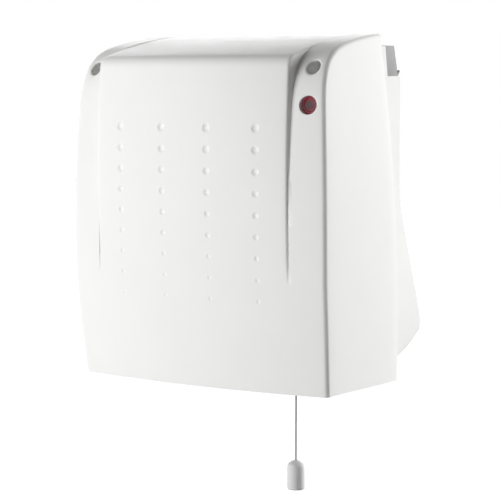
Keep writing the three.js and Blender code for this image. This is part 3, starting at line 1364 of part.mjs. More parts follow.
function pullSwitchBody() {
  const half = SWITCH_WIDTH / 2;
  const bottom = casingFloorTop + GAP;
  const block = box(CORD_AT - half, CORD_AT + half, switchFront, switchRear, bottom, SWITCH_TOP_AT);
  const slot = box(
    CORD_AT - SWITCH_SLOT_WIDTH / 2, CORD_AT + SWITCH_SLOT_WIDTH / 2,
    switchFront - OVERRUN, leverPivotY + LEVER_HUB_RADIUS + RUNNING_GAP,
    SWITCH_SLOT_BOTTOM_AT, SWITCH_TOP_AT + OVERRUN,
  );
  const pivot = { x: CORD_AT, y: leverPivotY, z: LEVER_AT };
  const pin = rod('x', LEVER_PIN_RADIUS + GAP, -SWITCH_WIDTH, SWITCH_WIDTH, pivot);
  const pilots = switchScrewPlaces().map((at) =>
    rod('z', SMALL_SCREW_RADIUS + GAP, 0, bottom + SWITCH_SCREW_LENGTH, at),
  );
  const wires = switchWirePlaces().map((at) =>
    rod('z', WIRE_RADIUS + GAP, SWITCH_TOP_AT - SWITCH_WIRE_HOLE_DEPTH, SWITCH_TOP_AT + OVERRUN, at),
  );
  return cut(block, slot, pin, ...pilots, ...wires);
}

// Live in, live out and the neon's lead, side by side in the top behind the lever.
function switchWirePlaces() {
  const y = switchRear - SWITCH_WIRE_HOLE_DEPTH;
  return [-1, 0, 1].map((step) => ({ x: CORD_AT + (step * SWITCH_WIDTH) / 3, y, z: 0 }));
}

// The lever is drawn level about its pin, then tilted up to where the spring holds it.
function switchLever() {
  const tip = LEVER_WIDTH / 2;
  const arm = new THREE.Shape();
  arm.moveTo(-tip, 0);
  arm.lineTo(-tip, -LEVER_LENGTH);
  arm.absarc(0, -LEVER_LENGTH, tip, Math.PI, 2 * Math.PI);
  arm.lineTo(tip, 0);
  arm.closePath();
  const origin = { x: 0, y: 0, z: 0 };
  const eye = { x: 0, y: -LEVER_LENGTH, z: 0 };
  const half = LEVER_THICKNESS / 2;
  const plate = prismZ(arm, -half, half, 5);
  const hub = rod('x', LEVER_HUB_RADIUS, -tip, tip, origin, ROUND);
  const bore = rod('x', LEVER_PIN_RADIUS + RUNNING_GAP, -OVERRUN, OVERRUN, origin);
  const hole = rod('z', CORD_RADIUS + LEVER_EYE_GAP, -OVERRUN, OVERRUN, eye);
  const level = cut(join(plate, hub), bore, hole);
  return level.rotateX(-LEVER_TILT).translate(CORD_AT, leverPivotY, LEVER_AT);
}

function leverPin() {
  const half = SWITCH_WIDTH / 2 - 1;
  return rod('x', LEVER_PIN_RADIUS, -half, half, { x: CORD_AT, y: leverPivotY, z: LEVER_AT });
}

// Torsion spring round the lever's pin, beside the lever.
function leverSpring() {
  const turnSteps = 10;
  const pitch = 2 * SPRING_WIRE_RADIUS + GAP;
  const start = CORD_AT + LEVER_WIDTH / 2 + GAP + SPRING_WIRE_RADIUS;
  const points = [];
  for (let i = 0; i <= SPRING_COILS * turnSteps; i += 1) {
    const angle = (2 * Math.PI * i) / turnSteps;
    const y = leverPivotY + SPRING_COIL_RADIUS * Math.cos(angle);
    const z = LEVER_AT + SPRING_COIL_RADIUS * Math.sin(angle);
    points.push([start + (pitch * i) / turnSteps, y, z]);
  }
  return closed(tube(points, SPRING_WIRE_RADIUS, 5, SPRING_COILS * turnSteps));
}

function cordEyelet() {
  const flangeTop = CASING_FLOOR_AT - GAP;
  const top = casingFloorTop + EYELET_STANDUP;
  const mouth = EYELET_BORE + 0.8;
  return turned('z', [
    [mouth, flangeTop - EYELET_FLANGE_THICKNESS], [EYELET_FLANGE - 0.6, flangeTop - EYELET_FLANGE_THICKNESS],
    [EYELET_FLANGE, flangeTop - 0.6], [EYELET_FLANGE, flangeTop], [EYELET_RADIUS, flangeTop],
    [EYELET_RADIUS, top], [EYELET_BORE, top], [EYELET_BORE, flangeTop],
    [mouth, flangeTop - EYELET_FLANGE_THICKNESS],
  ], { x: CORD_AT, y: -CORD_TO_WALL, z: 0 }, ROUND);
}

const cordTop = leverTipZ + LEVER_THICKNESS / 2 + CORD_STOP_HEIGHT + 1;
const cordBottom = KNOB_TOP_AT - KNOB_BORE_DEPTH + 1;

// The cord hangs straight down from the lever's eye, through the eyelet, into the knob.
function pullCord() {
  const [x, y] = [CORD_AT, -CORD_TO_WALL];
  const route = [
    [x, y, cordTop], [x, y, leverTipZ], [x, y, casingFloorTop], [x, y, CASING_FLOOR_AT],
    [x, y, -10], [x, y, -25], [x, y, -40], [x, y, KNOB_TOP_AT], [x, y, cordBottom],
  ];
  return closed(tube(route, CORD_RADIUS, CORD_SIDES, CORD_STEPS));
}

// Crimped ferrule that rests on the lever's eye and holds the cord.
function cordFerrule() {
  const bottom = leverTipZ + LEVER_THICKNESS / 2 + GAP * 2;
  const at = { x: CORD_AT, y: -CORD_TO_WALL, z: 0 };
  return ring('z', CORD_RADIUS + GAP, CORD_STOP_RADIUS, bottom, bottom + CORD_STOP_HEIGHT, at, SMALL_ROUND);
}

function pullKnob() {
  const bottom = KNOB_TOP_AT - KNOB_HEIGHT;
  const shoulder = KNOB_TOP_AT - KNOB_DOME_HEIGHT;
  const dome = arc([0, 0], 1, Math.PI / 2, 0, 5).map(([r, a]) => {
    return [KNOB_TOP_RADIUS * r, shoulder + KNOB_DOME_HEIGHT * a];
  });
  const edgeCentre = [KNOB_BOTTOM_RADIUS - KNOB_EDGE_RADIUS, bottom + KNOB_EDGE_RADIUS];
  const edge = arc(edgeCentre, KNOB_EDGE_RADIUS, 0, -Math.PI / 2, 3);
  const at = { x: CORD_AT, y: -CORD_TO_WALL, z: 0 };
  const body = turned('z', [...dome, ...edge, [0, bottom]].map(([r, a]) => [Math.max(r, 0), a]), at, ROUND);
  const bore = rod('z', CORD_RADIUS + GAP, KNOB_TOP_AT - KNOB_BORE_DEPTH, KNOB_TOP_AT + OVERRUN, at);
  return cut(body, bore);
}

// ---------------------------------------------------------------- wiring

// An insulated wire laid through a list of places.
function wire(...places) {
  const points = places.map(([x, y, z]) => new THREE.Vector3(x, y, z));
  const curve = new THREE.CatmullRomCurve3(points, false, 'centripetal');
  return closed(tubeAlong(curve, WIRE_RADIUS, WIRE_SIDES, Math.ceil(curve.getLength() / WIRE_STEP)));
}

// The last stretch of a wire into a terminal's hole, from outside to its end under the screw.
function intoTerminal(pole) {
  const y = terminalFront + TERMINAL_WIRE_DEPTH;
  const z = terminalScrewPlaces()[pole].z;
  const side = terminalX - TERMINAL_WIDTH / 2;
  return [[side - 7, y, z], [side - 3, y, z], [terminalX + 1, y, z]];
}

function intoSwitch(hole) {
  const { x, y } = switchWirePlaces()[hole];
  const bottom = SWITCH_TOP_AT - SWITCH_WIRE_HOLE_DEPTH + 1;
  return [[x, y, SWITCH_TOP_AT + 7], [x, y, SWITCH_TOP_AT + 3], [x, y, bottom]];
}

function ontoTab(side) {
  const { x, y, z } = cutoutTabPlace(side);
  return [[x, y - 7, z], [x, y - 3, z], [x, y - GAP, z]];
}

const coilMiddleZ = fanAxis.z - MOTOR_CORE_BOTTOM + MOTOR_LEG / 2;
const behindMotor = fanAxis.y + MOTOR_CORE_WIDTH / 2 + 11;
const belowMotor = SWITCH_TOP_AT + 9;
const besidePlate = rightPlateX - 2;
const inFront = -FAN_PLATE_FRONT_TO_WALL - 8;

function wireLive() {
  const x = stackRight - 5;
  return wire(
    ...intoTerminal(0).reverse(), [x, behindMotor, fanAxis.z + MOTOR_CORE_TOP],
    [x, behindMotor, coilMiddleZ], [x - 8, behindMotor - 18, belowMotor + 2], ...intoSwitch(0),
  );
}

function wireMotor() {
  const end = stackRight + MOTOR_COIL_WALL + GAP;
  return wire(
    ...intoSwitch(1).reverse(), [end + 2, switchRear + 4, belowMotor + 4],
    [end + 6, fanAxis.y, coilMiddleZ - 3], [end + 3, fanAxis.y, coilMiddleZ], [end, fanAxis.y, coilMiddleZ],
  );
}

function wireCutout() {
  const x = stackLeft - MOTOR_COIL_WALL / 2;
  const start = fanAxis.y - MOTOR_COIL_WIDTH / 2 - GAP;
  return wire(
    [x, start, coilMiddleZ], [x, start - 4, coilMiddleZ], [x, start - 14, coilMiddleZ - 4],
    [besidePlate + 4, inFront + 2, coilMiddleZ - 8], [besidePlate - 8, inFront, coilMiddleZ - 12],
    [0, inFront + 6, cutoutZ + 10], ...ontoTab(1),
  );
}

function wireNeutral() {
  const over = FAN_PLATE_TOP_AT + 8;
  return wire(
    ...ontoTab(-1).reverse(), [CUTOUT_AT, inFront - 2, fanAxis.z - IMPELLER_RADIUS],
    [CUTOUT_AT + 30, inFront - 2, fanAxis.z + 12], [besidePlate - 30, inFront + 6, over - 6],
    [besidePlate, -FAN_AXIS_TO_WALL, over], ...intoTerminal(1),
  );
}

function wireNeon() {
  const start = neonFlangeEnd + GAP + NEON_HOLDER_LENGTH + GAP;
  const side = casingInside - 4;
  return wire(
    [neonX, start, neonZ], [neonX, start + 4, neonZ], [side, start + 14, neonZ - 20],
    [side, start + 20, fanAxis.z], [side - 4, start + 24, coilMiddleZ - 6], ...intoSwitch(2),
  );
}

function wireEarth() {
  const z = fanAxis.z;
  const rear = motorScrewPlaces()[1];
  const x = outerBracketEnd + GAP + SMALL_SCREW_HEAD_HEIGHT + GAP;
  return wire(
    ...intoTerminal(2).reverse(), [x + 2, rear.y + 6, z + MOTOR_CORE_TOP + 8],
    [x + 5, rear.y, z + 6], [x + 3, rear.y, z], [x, rear.y, z],
  );
}

// ---------------------------------------------------------------- the heater, piece by piece

const FINISH = {
  whitePlastic: { color: 0xf2f1ed, roughness: 0.36, metalness: 0 },
  casingPlastic: { color: 0xe9e8e4, roughness: 0.5, metalness: 0 },
  knobPlastic: { color: 0xd6d5d1, roughness: 0.3, metalness: 0 },
  greyPlastic: { color: 0x8d8f90, roughness: 0.6, metalness: 0 },
  fanPlastic: { color: 0x35373a, roughness: 0.55, metalness: 0 },
  switchPlastic: { color: 0xe4e2da, roughness: 0.45, metalness: 0 },
  leverPlastic: { color: 0xc9c6bc, roughness: 0.5, metalness: 0 },
  neonRed: { color: 0x6e2a36, roughness: 0.12, metalness: 0 },
  lampGlass: { color: 0xe8a26a, roughness: 0.08, metalness: 0 },
  paintedSteel: { color: 0xb9babb, roughness: 0.5, metalness: 0.6 },
  zincSteel: { color: 0xb4b8bc, roughness: 0.35, metalness: 0.9 },
  screwSteel: { color: 0x8f9293, roughness: 0.35, metalness: 0.9 },
  shaftSteel: { color: 0xc8cacc, roughness: 0.2, metalness: 1 },
  castAlloy: { color: 0xa9adb1, roughness: 0.55, metalness: 0.8 },
  coreSteel: { color: 0x6b6e72, roughness: 0.6, metalness: 0.7 },
  enamelledCopper: { color: 0xa2582c, roughness: 0.4, metalness: 0.7 },
  bronze: { color: 0x9a7a48, roughness: 0.5, metalness: 0.8 },
  rubber: { color: 0x2a2a2b, roughness: 0.85, metalness: 0 },
  mica: { color: 0xc9bd9c, roughness: 0.6, metalness: 0 },
  heatingAlloy: { color: 0x7d7a74, roughness: 0.4, metalness: 0.9 },
  cordWhite: { color: 0xe6e4df, roughness: 0.8, metalness: 0 },
  brownInsulation: { color: 0x6b3f22, roughness: 0.5, metalness: 0 },
  blueInsulation: { color: 0x2b5fa8, roughness: 0.5, metalness: 0 },
  greenInsulation: { color: 0x5f9c34, roughness: 0.5, metalness: 0 },
  blackInsulation: { color: 0x262626, roughness: 0.5, metalness: 0 },
};

const heater = new THREE.Group();
heater.name = 'bathroom_wall_fan_heater';

function add(name, geometry, finish) {
  const lowered = geometry.translate(0, 0, -bracketMiddle);
  const mesh = new THREE.Mesh(lowered, new THREE.MeshStandardMaterial(finish));
  mesh.name = name;
  heater.add(mesh);
}

add('front_cover', frontCover(), FINISH.whitePlastic);
add('back_casing', backCasing(), FINISH.casingPlastic);
add('inlet_grille', inletGrille(), FINISH.greyPlastic);
add('outlet_grille', outletGrille(), FINISH.casingPlastic);
add('hanger_rail', hangerRail(), FINISH.paintedSteel);
add('wall_bracket', wallBracket(), FINISH.zincSteel);

add('impeller', impeller(), FINISH.fanPlastic);
add('stub_axle', stubAxle(), FINISH.shaftSteel);
add('motor_shaft', motorShaft(), FINISH.shaftSteel);
add('rotor', rotor(), FINISH.coreSteel);
add('axle_bush', axleBush(), FINISH.bronze);
add('bush_mount', bushMount(), FINISH.rubber);
add('scroll_guide', scrollGuide(), FINISH.zincSteel);
add('cutoff_guide', cutoffGuide(), FINISH.zincSteel);
add('motor_core', motorCore(), FINISH.coreSteel);
add('motor_coil', motorCoil(), FINISH.enamelledCopper);
add('motor_bracket_inner', motorBracketInner(), FINISH.castAlloy);
add('motor_bracket_outer', motorBracketOuter(), FINISH.castAlloy);
motorScrewPlaces().forEach((at, i) => {
  add(`motor_screw_${['front', 'rear'][i]}`, motorScrew(at), FINISH.screwSteel);
});

add('element_card_front', elementCard(ductFront + GAP), FINISH.mica);
add('element_card_rear', elementCard(rearCardFront), FINISH.mica);
for (let i = 0; i < ELEMENT_RIBBONS; i += 1) {
  add(`element_ribbon_${i + 1}`, elementRibbon(i), FINISH.heatingAlloy);
}
add('thermal_cutout', thermalCutout(), FINISH.switchPlastic);

add('neon_lens', neonLens(), FINISH.neonRed);
add('neon_lamp', neonLamp(), FINISH.lampGlass);
add('neon_holder', neonHolder(), FINISH.blackInsulation);
add('terminal_block', terminalBlock(), FINISH.switchPlastic);
terminalScrewPlaces().forEach((at, i) => {
  add(`terminal_screw_${i + 1}`, terminalScrew(at), FINISH.screwSteel);
});
add('cable_grommet', cableGrommet(), FINISH.rubber);

add('pull_switch_body', pullSwitchBody(), FINISH.switchPlastic);
add('switch_lever', switchLever(), FINISH.leverPlastic);
add('lever_pin', leverPin(), FINISH.shaftSteel);
add('lever_spring', leverSpring(), FINISH.shaftSteel);
add('cord_eyelet', cordEyelet(), FINISH.whitePlastic);
add('pull_cord', pullCord(), FINISH.cordWhite);
add('cord_ferrule', cordFerrule(), FINISH.screwSteel);
add('pull_knob', pullKnob(), FINISH.knobPlastic);
switchScrewPlaces().forEach((at, i) => {
  const head = { ...at, z: CASING_FLOOR_AT - GAP - SMALL_SCREW_HEAD_HEIGHT };
  add(`switch_screw_${i + 1}`, smallScrew('z', 1, head, SWITCH_SCREW_LENGTH), FINISH.screwSteel);
});

for (const [name, side] of Object.entries(SIDES)) {
  add(`fan_plate_${name}`, fanPlate(side), FINISH.zincSteel);
  fanScrewPlaces(side).forEach((at, i) => {
    const head = { ...at, z: CASING_FLOOR_AT - GAP - SMALL_SCREW_HEAD_HEIGHT };
    add(`fan_screw_${name}_${i + 1}`, smallScrew('z', 1, head, FAN_SCREW_LENGTH), FINISH.screwSteel);
  });
  const flange = notchZ + GAP + STEEL + GAP + SMALL_SCREW_HEAD_HEIGHT;
  const hangerHead = { ...hangerScrewPlace(side), z: flange };
  add(`hanger_screw_${name}`, smallScrew('z', -1, hangerHead, HANGER_SCREW_LENGTH), FINISH.screwSteel);
  add(`cover_screw_${name}`, coverScrew(side), FINISH.screwSteel);
}

add('wire_live', wireLive(), FINISH.brownInsulation);
add('wire_motor', wireMotor(), FINISH.brownInsulation);
add('wire_cutout', wireCutout(), FINISH.blackInsulation);
add('wire_neutral', wireNeutral(), FINISH.blueInsulation);
add('wire_neon', wireNeon(), FINISH.blackInsulation);
add('wire_earth', wireEarth(), FINISH.greenInsulation);

export default heater;
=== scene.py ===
"""The looks of a bathroom wall fan heater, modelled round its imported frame.

Sizes are in metres. X runs along the wall, Y into the wall and Z up, and the origin is the
middle of the wall bracket's back face. Heights in the settings are measured from the cover's
bottom edge.
"""

import math
from contextlib import contextmanager

import bpy
import numpy as np
from bpy.props import FloatProperty, FloatVectorProperty, IntProperty, PointerProperty
from mathutils import Matrix, Vector


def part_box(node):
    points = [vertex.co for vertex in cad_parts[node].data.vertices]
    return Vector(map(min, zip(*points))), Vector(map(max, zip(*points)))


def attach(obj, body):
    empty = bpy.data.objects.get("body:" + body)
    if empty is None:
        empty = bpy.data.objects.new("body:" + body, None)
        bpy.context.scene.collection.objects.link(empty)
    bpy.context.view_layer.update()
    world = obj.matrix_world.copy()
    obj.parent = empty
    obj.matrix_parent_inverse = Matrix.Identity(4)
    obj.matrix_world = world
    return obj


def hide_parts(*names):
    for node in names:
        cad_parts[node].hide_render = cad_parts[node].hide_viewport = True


bl_info = {
    "name": "Bathroom Wall Fan Heater",
    "version": (1, 0, 0),
    "blender": (4, 5, 0),
    "location": "View3D > Sidebar > Heater",
    "description": "Models a pull-cord wall fan heater round its frame",
    "category": "Object",
}

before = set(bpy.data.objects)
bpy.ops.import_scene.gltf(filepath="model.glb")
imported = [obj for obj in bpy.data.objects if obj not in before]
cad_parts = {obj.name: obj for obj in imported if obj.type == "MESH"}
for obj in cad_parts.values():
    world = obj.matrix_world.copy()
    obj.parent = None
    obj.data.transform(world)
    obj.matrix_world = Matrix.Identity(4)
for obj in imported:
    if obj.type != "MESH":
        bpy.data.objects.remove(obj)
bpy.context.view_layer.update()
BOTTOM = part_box("front_cover")[0].z

# The camera: its place (height above the cover's bottom edge), its aim and its optics.
CAMERA_PLACE = (0.9044, -1.3715, 0.2413)
CAMERA_TURN = 35.1
CAMERA_DIP = 4.97
CAMERA_LENS = 135.83
CAMERA_SENSOR = 36

# The softboxes stand this far from a point in the middle of the heater.
LAMP_DISTANCE = 1.9
LAMP_AIM = (0, -0.1, 0.14)
# Azimuth from the front, elevation, width and height, and whether it shows in reflections.
LAMPS = {
    "front": (-27, 0, (1.1, 0.7), False),
    "low": (-35, -50, (1.2, 1.2), False),
    "side": (140, 15, (1.1, 0.9), False),
    "rear": (-145, 17, (1.8, 0.45), True),
}
# In reflections the surroundings fade to FADED where a direction's Z falls between these two.
FADE_FROM, FADE_TO, FADED = -0.75, -0.1, 0.05
FLOOR_SIZE = 40
FLOOR_BELOW = 1.3

WIRE_COLOURS = {
    "brown": (107, 63, 34), "blue": (43, 95, 168), "green": (95, 156, 52), "black": (38, 38, 38),
}

# Points of the cover's grid across each of its parts.
EDGE_POINTS, RAIL_POINTS, CORNER_POINTS, SIDE_POINTS = 7, 9, 8, 10
NOSE_POINTS, TOP_POINTS = 17, 9
# Round each dimple the grid is close together, a little past the dimple's edge.
DIMPLE_REACH = 1.2
DIMPLE_ROW_POINTS, DIMPLE_COLUMN_POINTS = 11, 13


def srgb(red, green, blue):
    """A colour on a scale of 0 to 255 as the linear values that a shader takes."""

    def linear(value):
        share = value / 255
        return share / 12.92 if share <= 0.04045 else ((share + 0.055) / 1.055) ** 2.4

    return (linear(red), linear(green), linear(blue))


def length(name, description, default):
    return FloatProperty(
        name=name, description=description, default=default, unit="LENGTH", precision=5
    )


def share(name, description, default):
    return FloatProperty(
        name=name, description=description, default=default, min=0, subtype="FACTOR"
    )


def watts(lamp, default):
    return FloatProperty(
        name=lamp, description="Watts of this softbox", default=default, unit="POWER"
    )


def colour(name, description, default):
    return FloatVectorProperty(
        name=name, description=description, default=srgb(*default), subtype="COLOR", min=0, max=1
    )


# ------------------------------------------------------------------------- settings


class HeaterCoverSizes(bpy.types.PropertyGroup):
    width: length("Width", "Across the barrelled sides at their widest", 0.2512)
    height: length("Height", "From the bottom edge to the top's rear edge", 0.283)
    wall: length("Wall", "Thickness of the moulding", 0.0024)
    corner_to_wall: length("Corner to wall", "Front bottom corners to the wall", 0.1495)
    side_widest_at: length("Sides widest at", "Height of the widest point", 0.115)
    side_arc_radius: length("Side arc", "Radius of the barrelled sides", 1.7)
    bulge: length("Bulge", "How far the front swells ahead of its corners", 0.0174)
    fullest_at: length("Fullest at", "Height where the front swells most", 0.2)
    front_arc_radius: length("Front arc", "Radius of the front from bottom to top", 1.39)
    bow: length("Bow", "How far the middle stands ahead of the sides", 0.0105)
    rear_to_wall: length("Rear to wall", "Rear edge to the wall at the bottom", 0.0482)
    rear_lean: share("Rear lean", "Forward lean of the rear edge", 0.076)
    top_slope: share("Top slope", "Fall of the top at its rear edge", 0.11)
    top_arc_radius: length("Top arc", "Radius of the top, which falls off towards the front", 0.515)
    corner_radius: length("Corner radius", "Rounding between front and sides", 0.0034)
    panel_half_width: length("Panel half width", "Half of the raised panel", 0.094)
    panel_edge_radius: length("Panel edge", "Rounding of the raised panel's edges", 0.002)
    panel_sag: share("Panel sag", "Share of its step that the panel loses at its edges", 0.4)
    panel_draft: length("Panel draft", "Slant of the panel's side walls", 0.0008)
    nose_radius: length("Nose radius", "Rounding over the panel's top edge", 0.008)
    rail_lean_from: length("Rails lean from", "Height where the rails start to fall back", 0.088)
    rail_lean: share("Rail lean", "How much the rails fall back", 0.0494)
    shoulder_drop: length("Shoulder drop", "From the top to where a rail's shoulder starts", 0.059)
    shoulder_reach: length("Shoulder reach", "How far back a shoulder ends", 0.05)
    shoulder_fullness: share("Shoulder fullness", "Squareness of the shoulders", 0.7)
    nose_fullness: share("Nose fullness", "Squareness of the nose", 0.55)
    rim_radius: length("Rim radius", "Rounding of the open rim", 0.002)


class HeaterCoverDetails(bpy.types.PropertyGroup):
    dimple_columns: IntProperty(name="Dimple columns", description="Columns of dimples", default=4)
    dimple_rows: IntProperty(name="Dimple rows", description="Dimples in each column", default=9)
    dimple_column_pitch: length("Column pitch", "Between columns", 0.0446)
    dimple_row_pitch: length("Row pitch", "Between rows", 0.01695)
    dimple_bottom_at: length("Bottom row at", "Height of the lowest dimples", 0.073)
    dimple_top_diameter: length("Top dimples", "Diameter of the highest dimples", 0.0068)
    dimple_bottom_diameter: length("Bottom dimples", "Diameter of the lowest dimples", 0.0032)
    dimple_depth: share("Dimple depth", "Depth as a share of the diameter", 0.17)
    screw_below_top: length("Screws below top", "From the top to the cover screws", 0.0275)
    screw_to_side: length("Screws to side", "In from the cover's side", 0.0118)
    cup_bore: length("Recess bore", "Radius of a screw recess", 0.0052)
    cup_wall: length("Recess wall", "Thickness of a recess's wall", 0.0015)
    cup_floor_at: length("Recess floor", "Its floor, from the wall", 0.131)
    cup_floor: length("Recess floor thickness", "Thickness of the floor", 0.002)
    shank_hole: length("Screw hole", "Radius of the hole in the floor", 0.0022)
    cup_mouth: length("Recess mouth", "Rounding of a screw recess's mouth", 0.0018)
    neon_below_top: length("Neon below top", "From the top to the neon", 0.0563)
    neon_to_side: length("Neon to side", "In from the cover's side", 0.0136)
    neon_bore: length("Neon bore", "Radius of the neon's hole", 0.0072)
    neon_mouth: length("Neon mouth", "Rounding of the neon's mouth", 0.0004)
    neon_tube_wall: length("Neon tube wall", "Thickness of the tube round the neon", 0.0013)
    neon_tube_depth: length("Neon tube depth", "How far the tube runs back", 0.01)
    hook_at: length("Hooks at", "Each bottom hook from the middle", 0.06)
    hook_width: length("Hook width", "Width of a bottom hook", 0.014)


class HeaterCordSizes(bpy.types.PropertyGroup):
    to_middle: length("Cord from middle", "The cord from the heater's middle", 0.0818)
    to_wall: length("Cord to wall", "The cord from the wall", 0.1375)
    diameter: length("Cord diameter", "Thickness of the braided cord", 0.0014)
    knob_top_at: length("Knob top", "Height of the knob's top", -0.0555)
    knob_height: length("Knob height", "Height of the knob", 0.0235)
    knob_top_radius: length("Knob top radius", "Radius below the dome", 0.0071)
    knob_bottom_radius: length("Knob bottom radius", "Radius at the foot", 0.0072)
    knob_dome: length("Knob dome", "Height of the dome", 0.0055)


class HeaterFinishes(bpy.types.PropertyGroup):
    cover: colour("Cover", "Glossy white moulding", (244, 244, 242))
    casing: colour("Casing", "Matt white moulding", (230, 230, 229))
    knob: colour("Knob", "Knob moulding", (222, 222, 222))
    rail: colour("Rail", "Grey paint of the hanger rail", (160, 160, 161))
    zinc: colour("Zinc", "Zinc-plated sheet", (186, 190, 193))
    screw: colour("Screws", "Zinc-plated screws", (142, 145, 146))
    # The lens red is used towards the lens's rim, brightened there as a painted rim highlight.
    lens: colour("Neon lens", "Red of the lens", (176, 8, 56))


class HeaterLightLevels(bpy.types.PropertyGroup):
    front: watts("Front", 32)
    low: watts("Low", 0.5)
    side: watts("Side", 49)
    rear: watts("Rear", 4)
    reflected: share("Reflected", "Strength of the surroundings in reflections", 1.3)
    around: share("Around", "Strength of the surroundings as a light", 0.03)


# ------------------------------------------------------------------------- modelling helpers


def nothing_selected():
    if bpy.context.object and bpy.context.object.mode != "OBJECT":
        bpy.ops.object.mode_set(mode="OBJECT")
    bpy.ops.object.select_all(action="DESELECT")


def only(piece):
    nothing_selected()
    piece.select_set(True)
    bpy.context.view_layer.objects.active = piece


def named(piece, name):
    piece.name = piece.data.name = name
    return piece


@contextmanager
def editing(piece, everything=True):
    """Edit mode, with the whole piece selected or with the selection that it has."""
    only(piece)
    bpy.ops.object.mode_set(mode="EDIT")
    if everything:
        bpy.ops.mesh.select_all(action="SELECT")
    yield
    bpy.ops.object.mode_set(mode="OBJECT")


def settle(piece):
    """Leave the piece's object at the origin, unturned, with its place in its mesh."""
    only(piece)
    bpy.ops.object.transform_apply(location=True, rotation=True, scale=True)
    return piece


def raise_to_frame(piece):
    """From heights above the cover's bottom edge to the part's frame."""
    piece.data.transform(Matrix.Translation((0, 0, BOTTOM)))
    return piece


def apply_modifier(piece, kind, **values):
    only(piece)
    modifier = piece.modifiers.new(kind.title(), kind)
    for key, value in values.items():
        setattr(modifier, key, value)
    bpy.ops.object.modifier_apply(modifier=modifier.name)


def combine(base, other, operation):
    """Join a shape to a piece or cut it out of it."""
    apply_modifier(base, "BOOLEAN", object=other, operation=operation, solver="EXACT")
    bpy.data.objects.remove(other, do_unlink=True)


def joined(pieces):
    nothing_selected()
    for piece in pieces:
        piece.select_set(True)
    bpy.context.view_layer.objects.active = pieces[0]
    if len(pieces) > 1:
        bpy.ops.object.join()
    return bpy.context.object


def cleaned(piece, distance=1e-6):
    with editing(piece):
        bpy.ops.mesh.remove_doubles(threshold=distance)
        bpy.ops.mesh.dissolve_degenerate(threshold=distance)
    return piece


def smoothed(piece, degrees=32):
    only(piece)
    bpy.ops.object.shade_smooth_by_angle(angle=math.radians(degrees))
    return piece


def cylinder(radius, start, end, axis, at, sides=48):
    """A cylinder along Y or Z from one place to another, through the point at."""
    middle = Vector(at)
    middle["xyz".index(axis)] += (start + end) / 2
    turn = (math.pi / 2, 0, 0) if axis == "y" else (0, 0, 0)
    nothing_selected()
    bpy.ops.mesh.primitive_cylinder_add(
        vertices=sides, radius=radius, depth=abs(end - start), location=middle, rotation=turn
    )
    return settle(bpy.context.object)


def block(x0, x1, y0, y1, z0, z1):
    nothing_selected()
    bpy.ops.mesh.primitive_cube_add(
        size=1,
        location=((x0 + x1) / 2, (y0 + y1) / 2, (z0 + z1) / 2),
        scale=(x1 - x0, y1 - y0, z1 - z0),
    )
    return settle(bpy.context.object)


def quarter(steps, first=0):
    """The angles of a quarter turn in equal steps."""
    return [math.radians(90 * i / steps) for i in range(first, steps + 1)]


def turned(name, outline, at, axis, steps=64):
    """A turned piece: (radius, place along the axis) points, spun round Y or Z."""
    nothing_selected()
    bpy.ops.mesh.primitive_circle_add(vertices=len(outline), radius=0.01, fill_type="NOTHING")
    piece = named(bpy.context.object, name)
    for vertex, (radius, along) in zip(piece.data.vertices, outline):
        vertex.co = (radius, 0, along)
    with editing(piece):
        bpy.ops.mesh.spin(steps=steps, angle=2 * math.pi, center=(0, 0, 0), axis=(0, 0, 1))
        bpy.ops.mesh.select_all(action="SELECT")
        bpy.ops.mesh.remove_doubles(threshold=1e-6)
        bpy.ops.mesh.normals_make_consistent(inside=False)
    turn = Matrix.Rotation(-math.pi / 2, 4, "X") if axis == "y" else Matrix.Identity(4)
    piece.data.transform(Matrix.Translation(Vector(at)) @ turn)
    return piece


def select_edges(piece, test):
    """Select only the edges whose two ends pass a test, ready for an edit-mode operator."""
    bpy.context.tool_settings.mesh_select_mode = (False, True, False)
    mesh = piece.data
    for items in (mesh.polygons, mesh.edges, mesh.vertices):
        items.foreach_set("select", [False] * len(items))
    for edge in mesh.edges:
        ends = [mesh.vertices[i] for i in edge.vertices]
        if test(*[end.co for end in ends]):
            edge.select = True
            for end in ends:
                end.select = True


def refined(node, name, edge):
    """A copy of a frame node with its edges softened and its curves shaded smooth."""
    piece = bpy.data.objects.new(name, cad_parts[node].data.copy())
    bpy.context.scene.collection.objects.link(piece)
    with editing(piece):
        bpy.ops.mesh.remove_doubles(threshold=2e-6)
        bpy.ops.mesh.dissolve_limited(angle_limit=math.radians(0.5))
    apply_modifier(
        piece, "BEVEL", width=edge, segments=2, limit_method="ANGLE",
        angle_limit=math.radians(40),
    )
    return smoothed(cleaned(piece), 35)


def deliver(piece, body, slot, material, *nodes):
    """Dress a finished piece, let it ride on its body and stand for its frame nodes."""
    piece.data.materials.clear()
    piece.data.materials.append(material)
    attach(piece, body)
    if nodes:
        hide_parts(*nodes)


def dress(material, *nodes):
    """Give frame nodes whose shape is right a finish."""
    for node in nodes:
        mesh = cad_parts[node].data
        mesh.materials.clear()
        mesh.materials.append(material)


# ------------------------------------------------------------------------- finishes


class Wiring:
    """A tree of shader nodes, built up node by node."""

    def __init__(self, tree):
        self.tree = tree

    def feed(self, socket, value):
        """Link another node's output to a socket, or give the socket a value."""
        if isinstance(value, bpy.types.NodeSocket):
            self.tree.links.new(value, socket)
        else:
            socket.default_value = value

    def node(self, kind, values=(), **settings):
        node = self.tree.nodes.new("ShaderNode" + kind)
        for key, value in settings.items():
            setattr(node, key, value)
        for key, value in dict(values).items():
            self.feed(node.inputs[key], value)
        return node


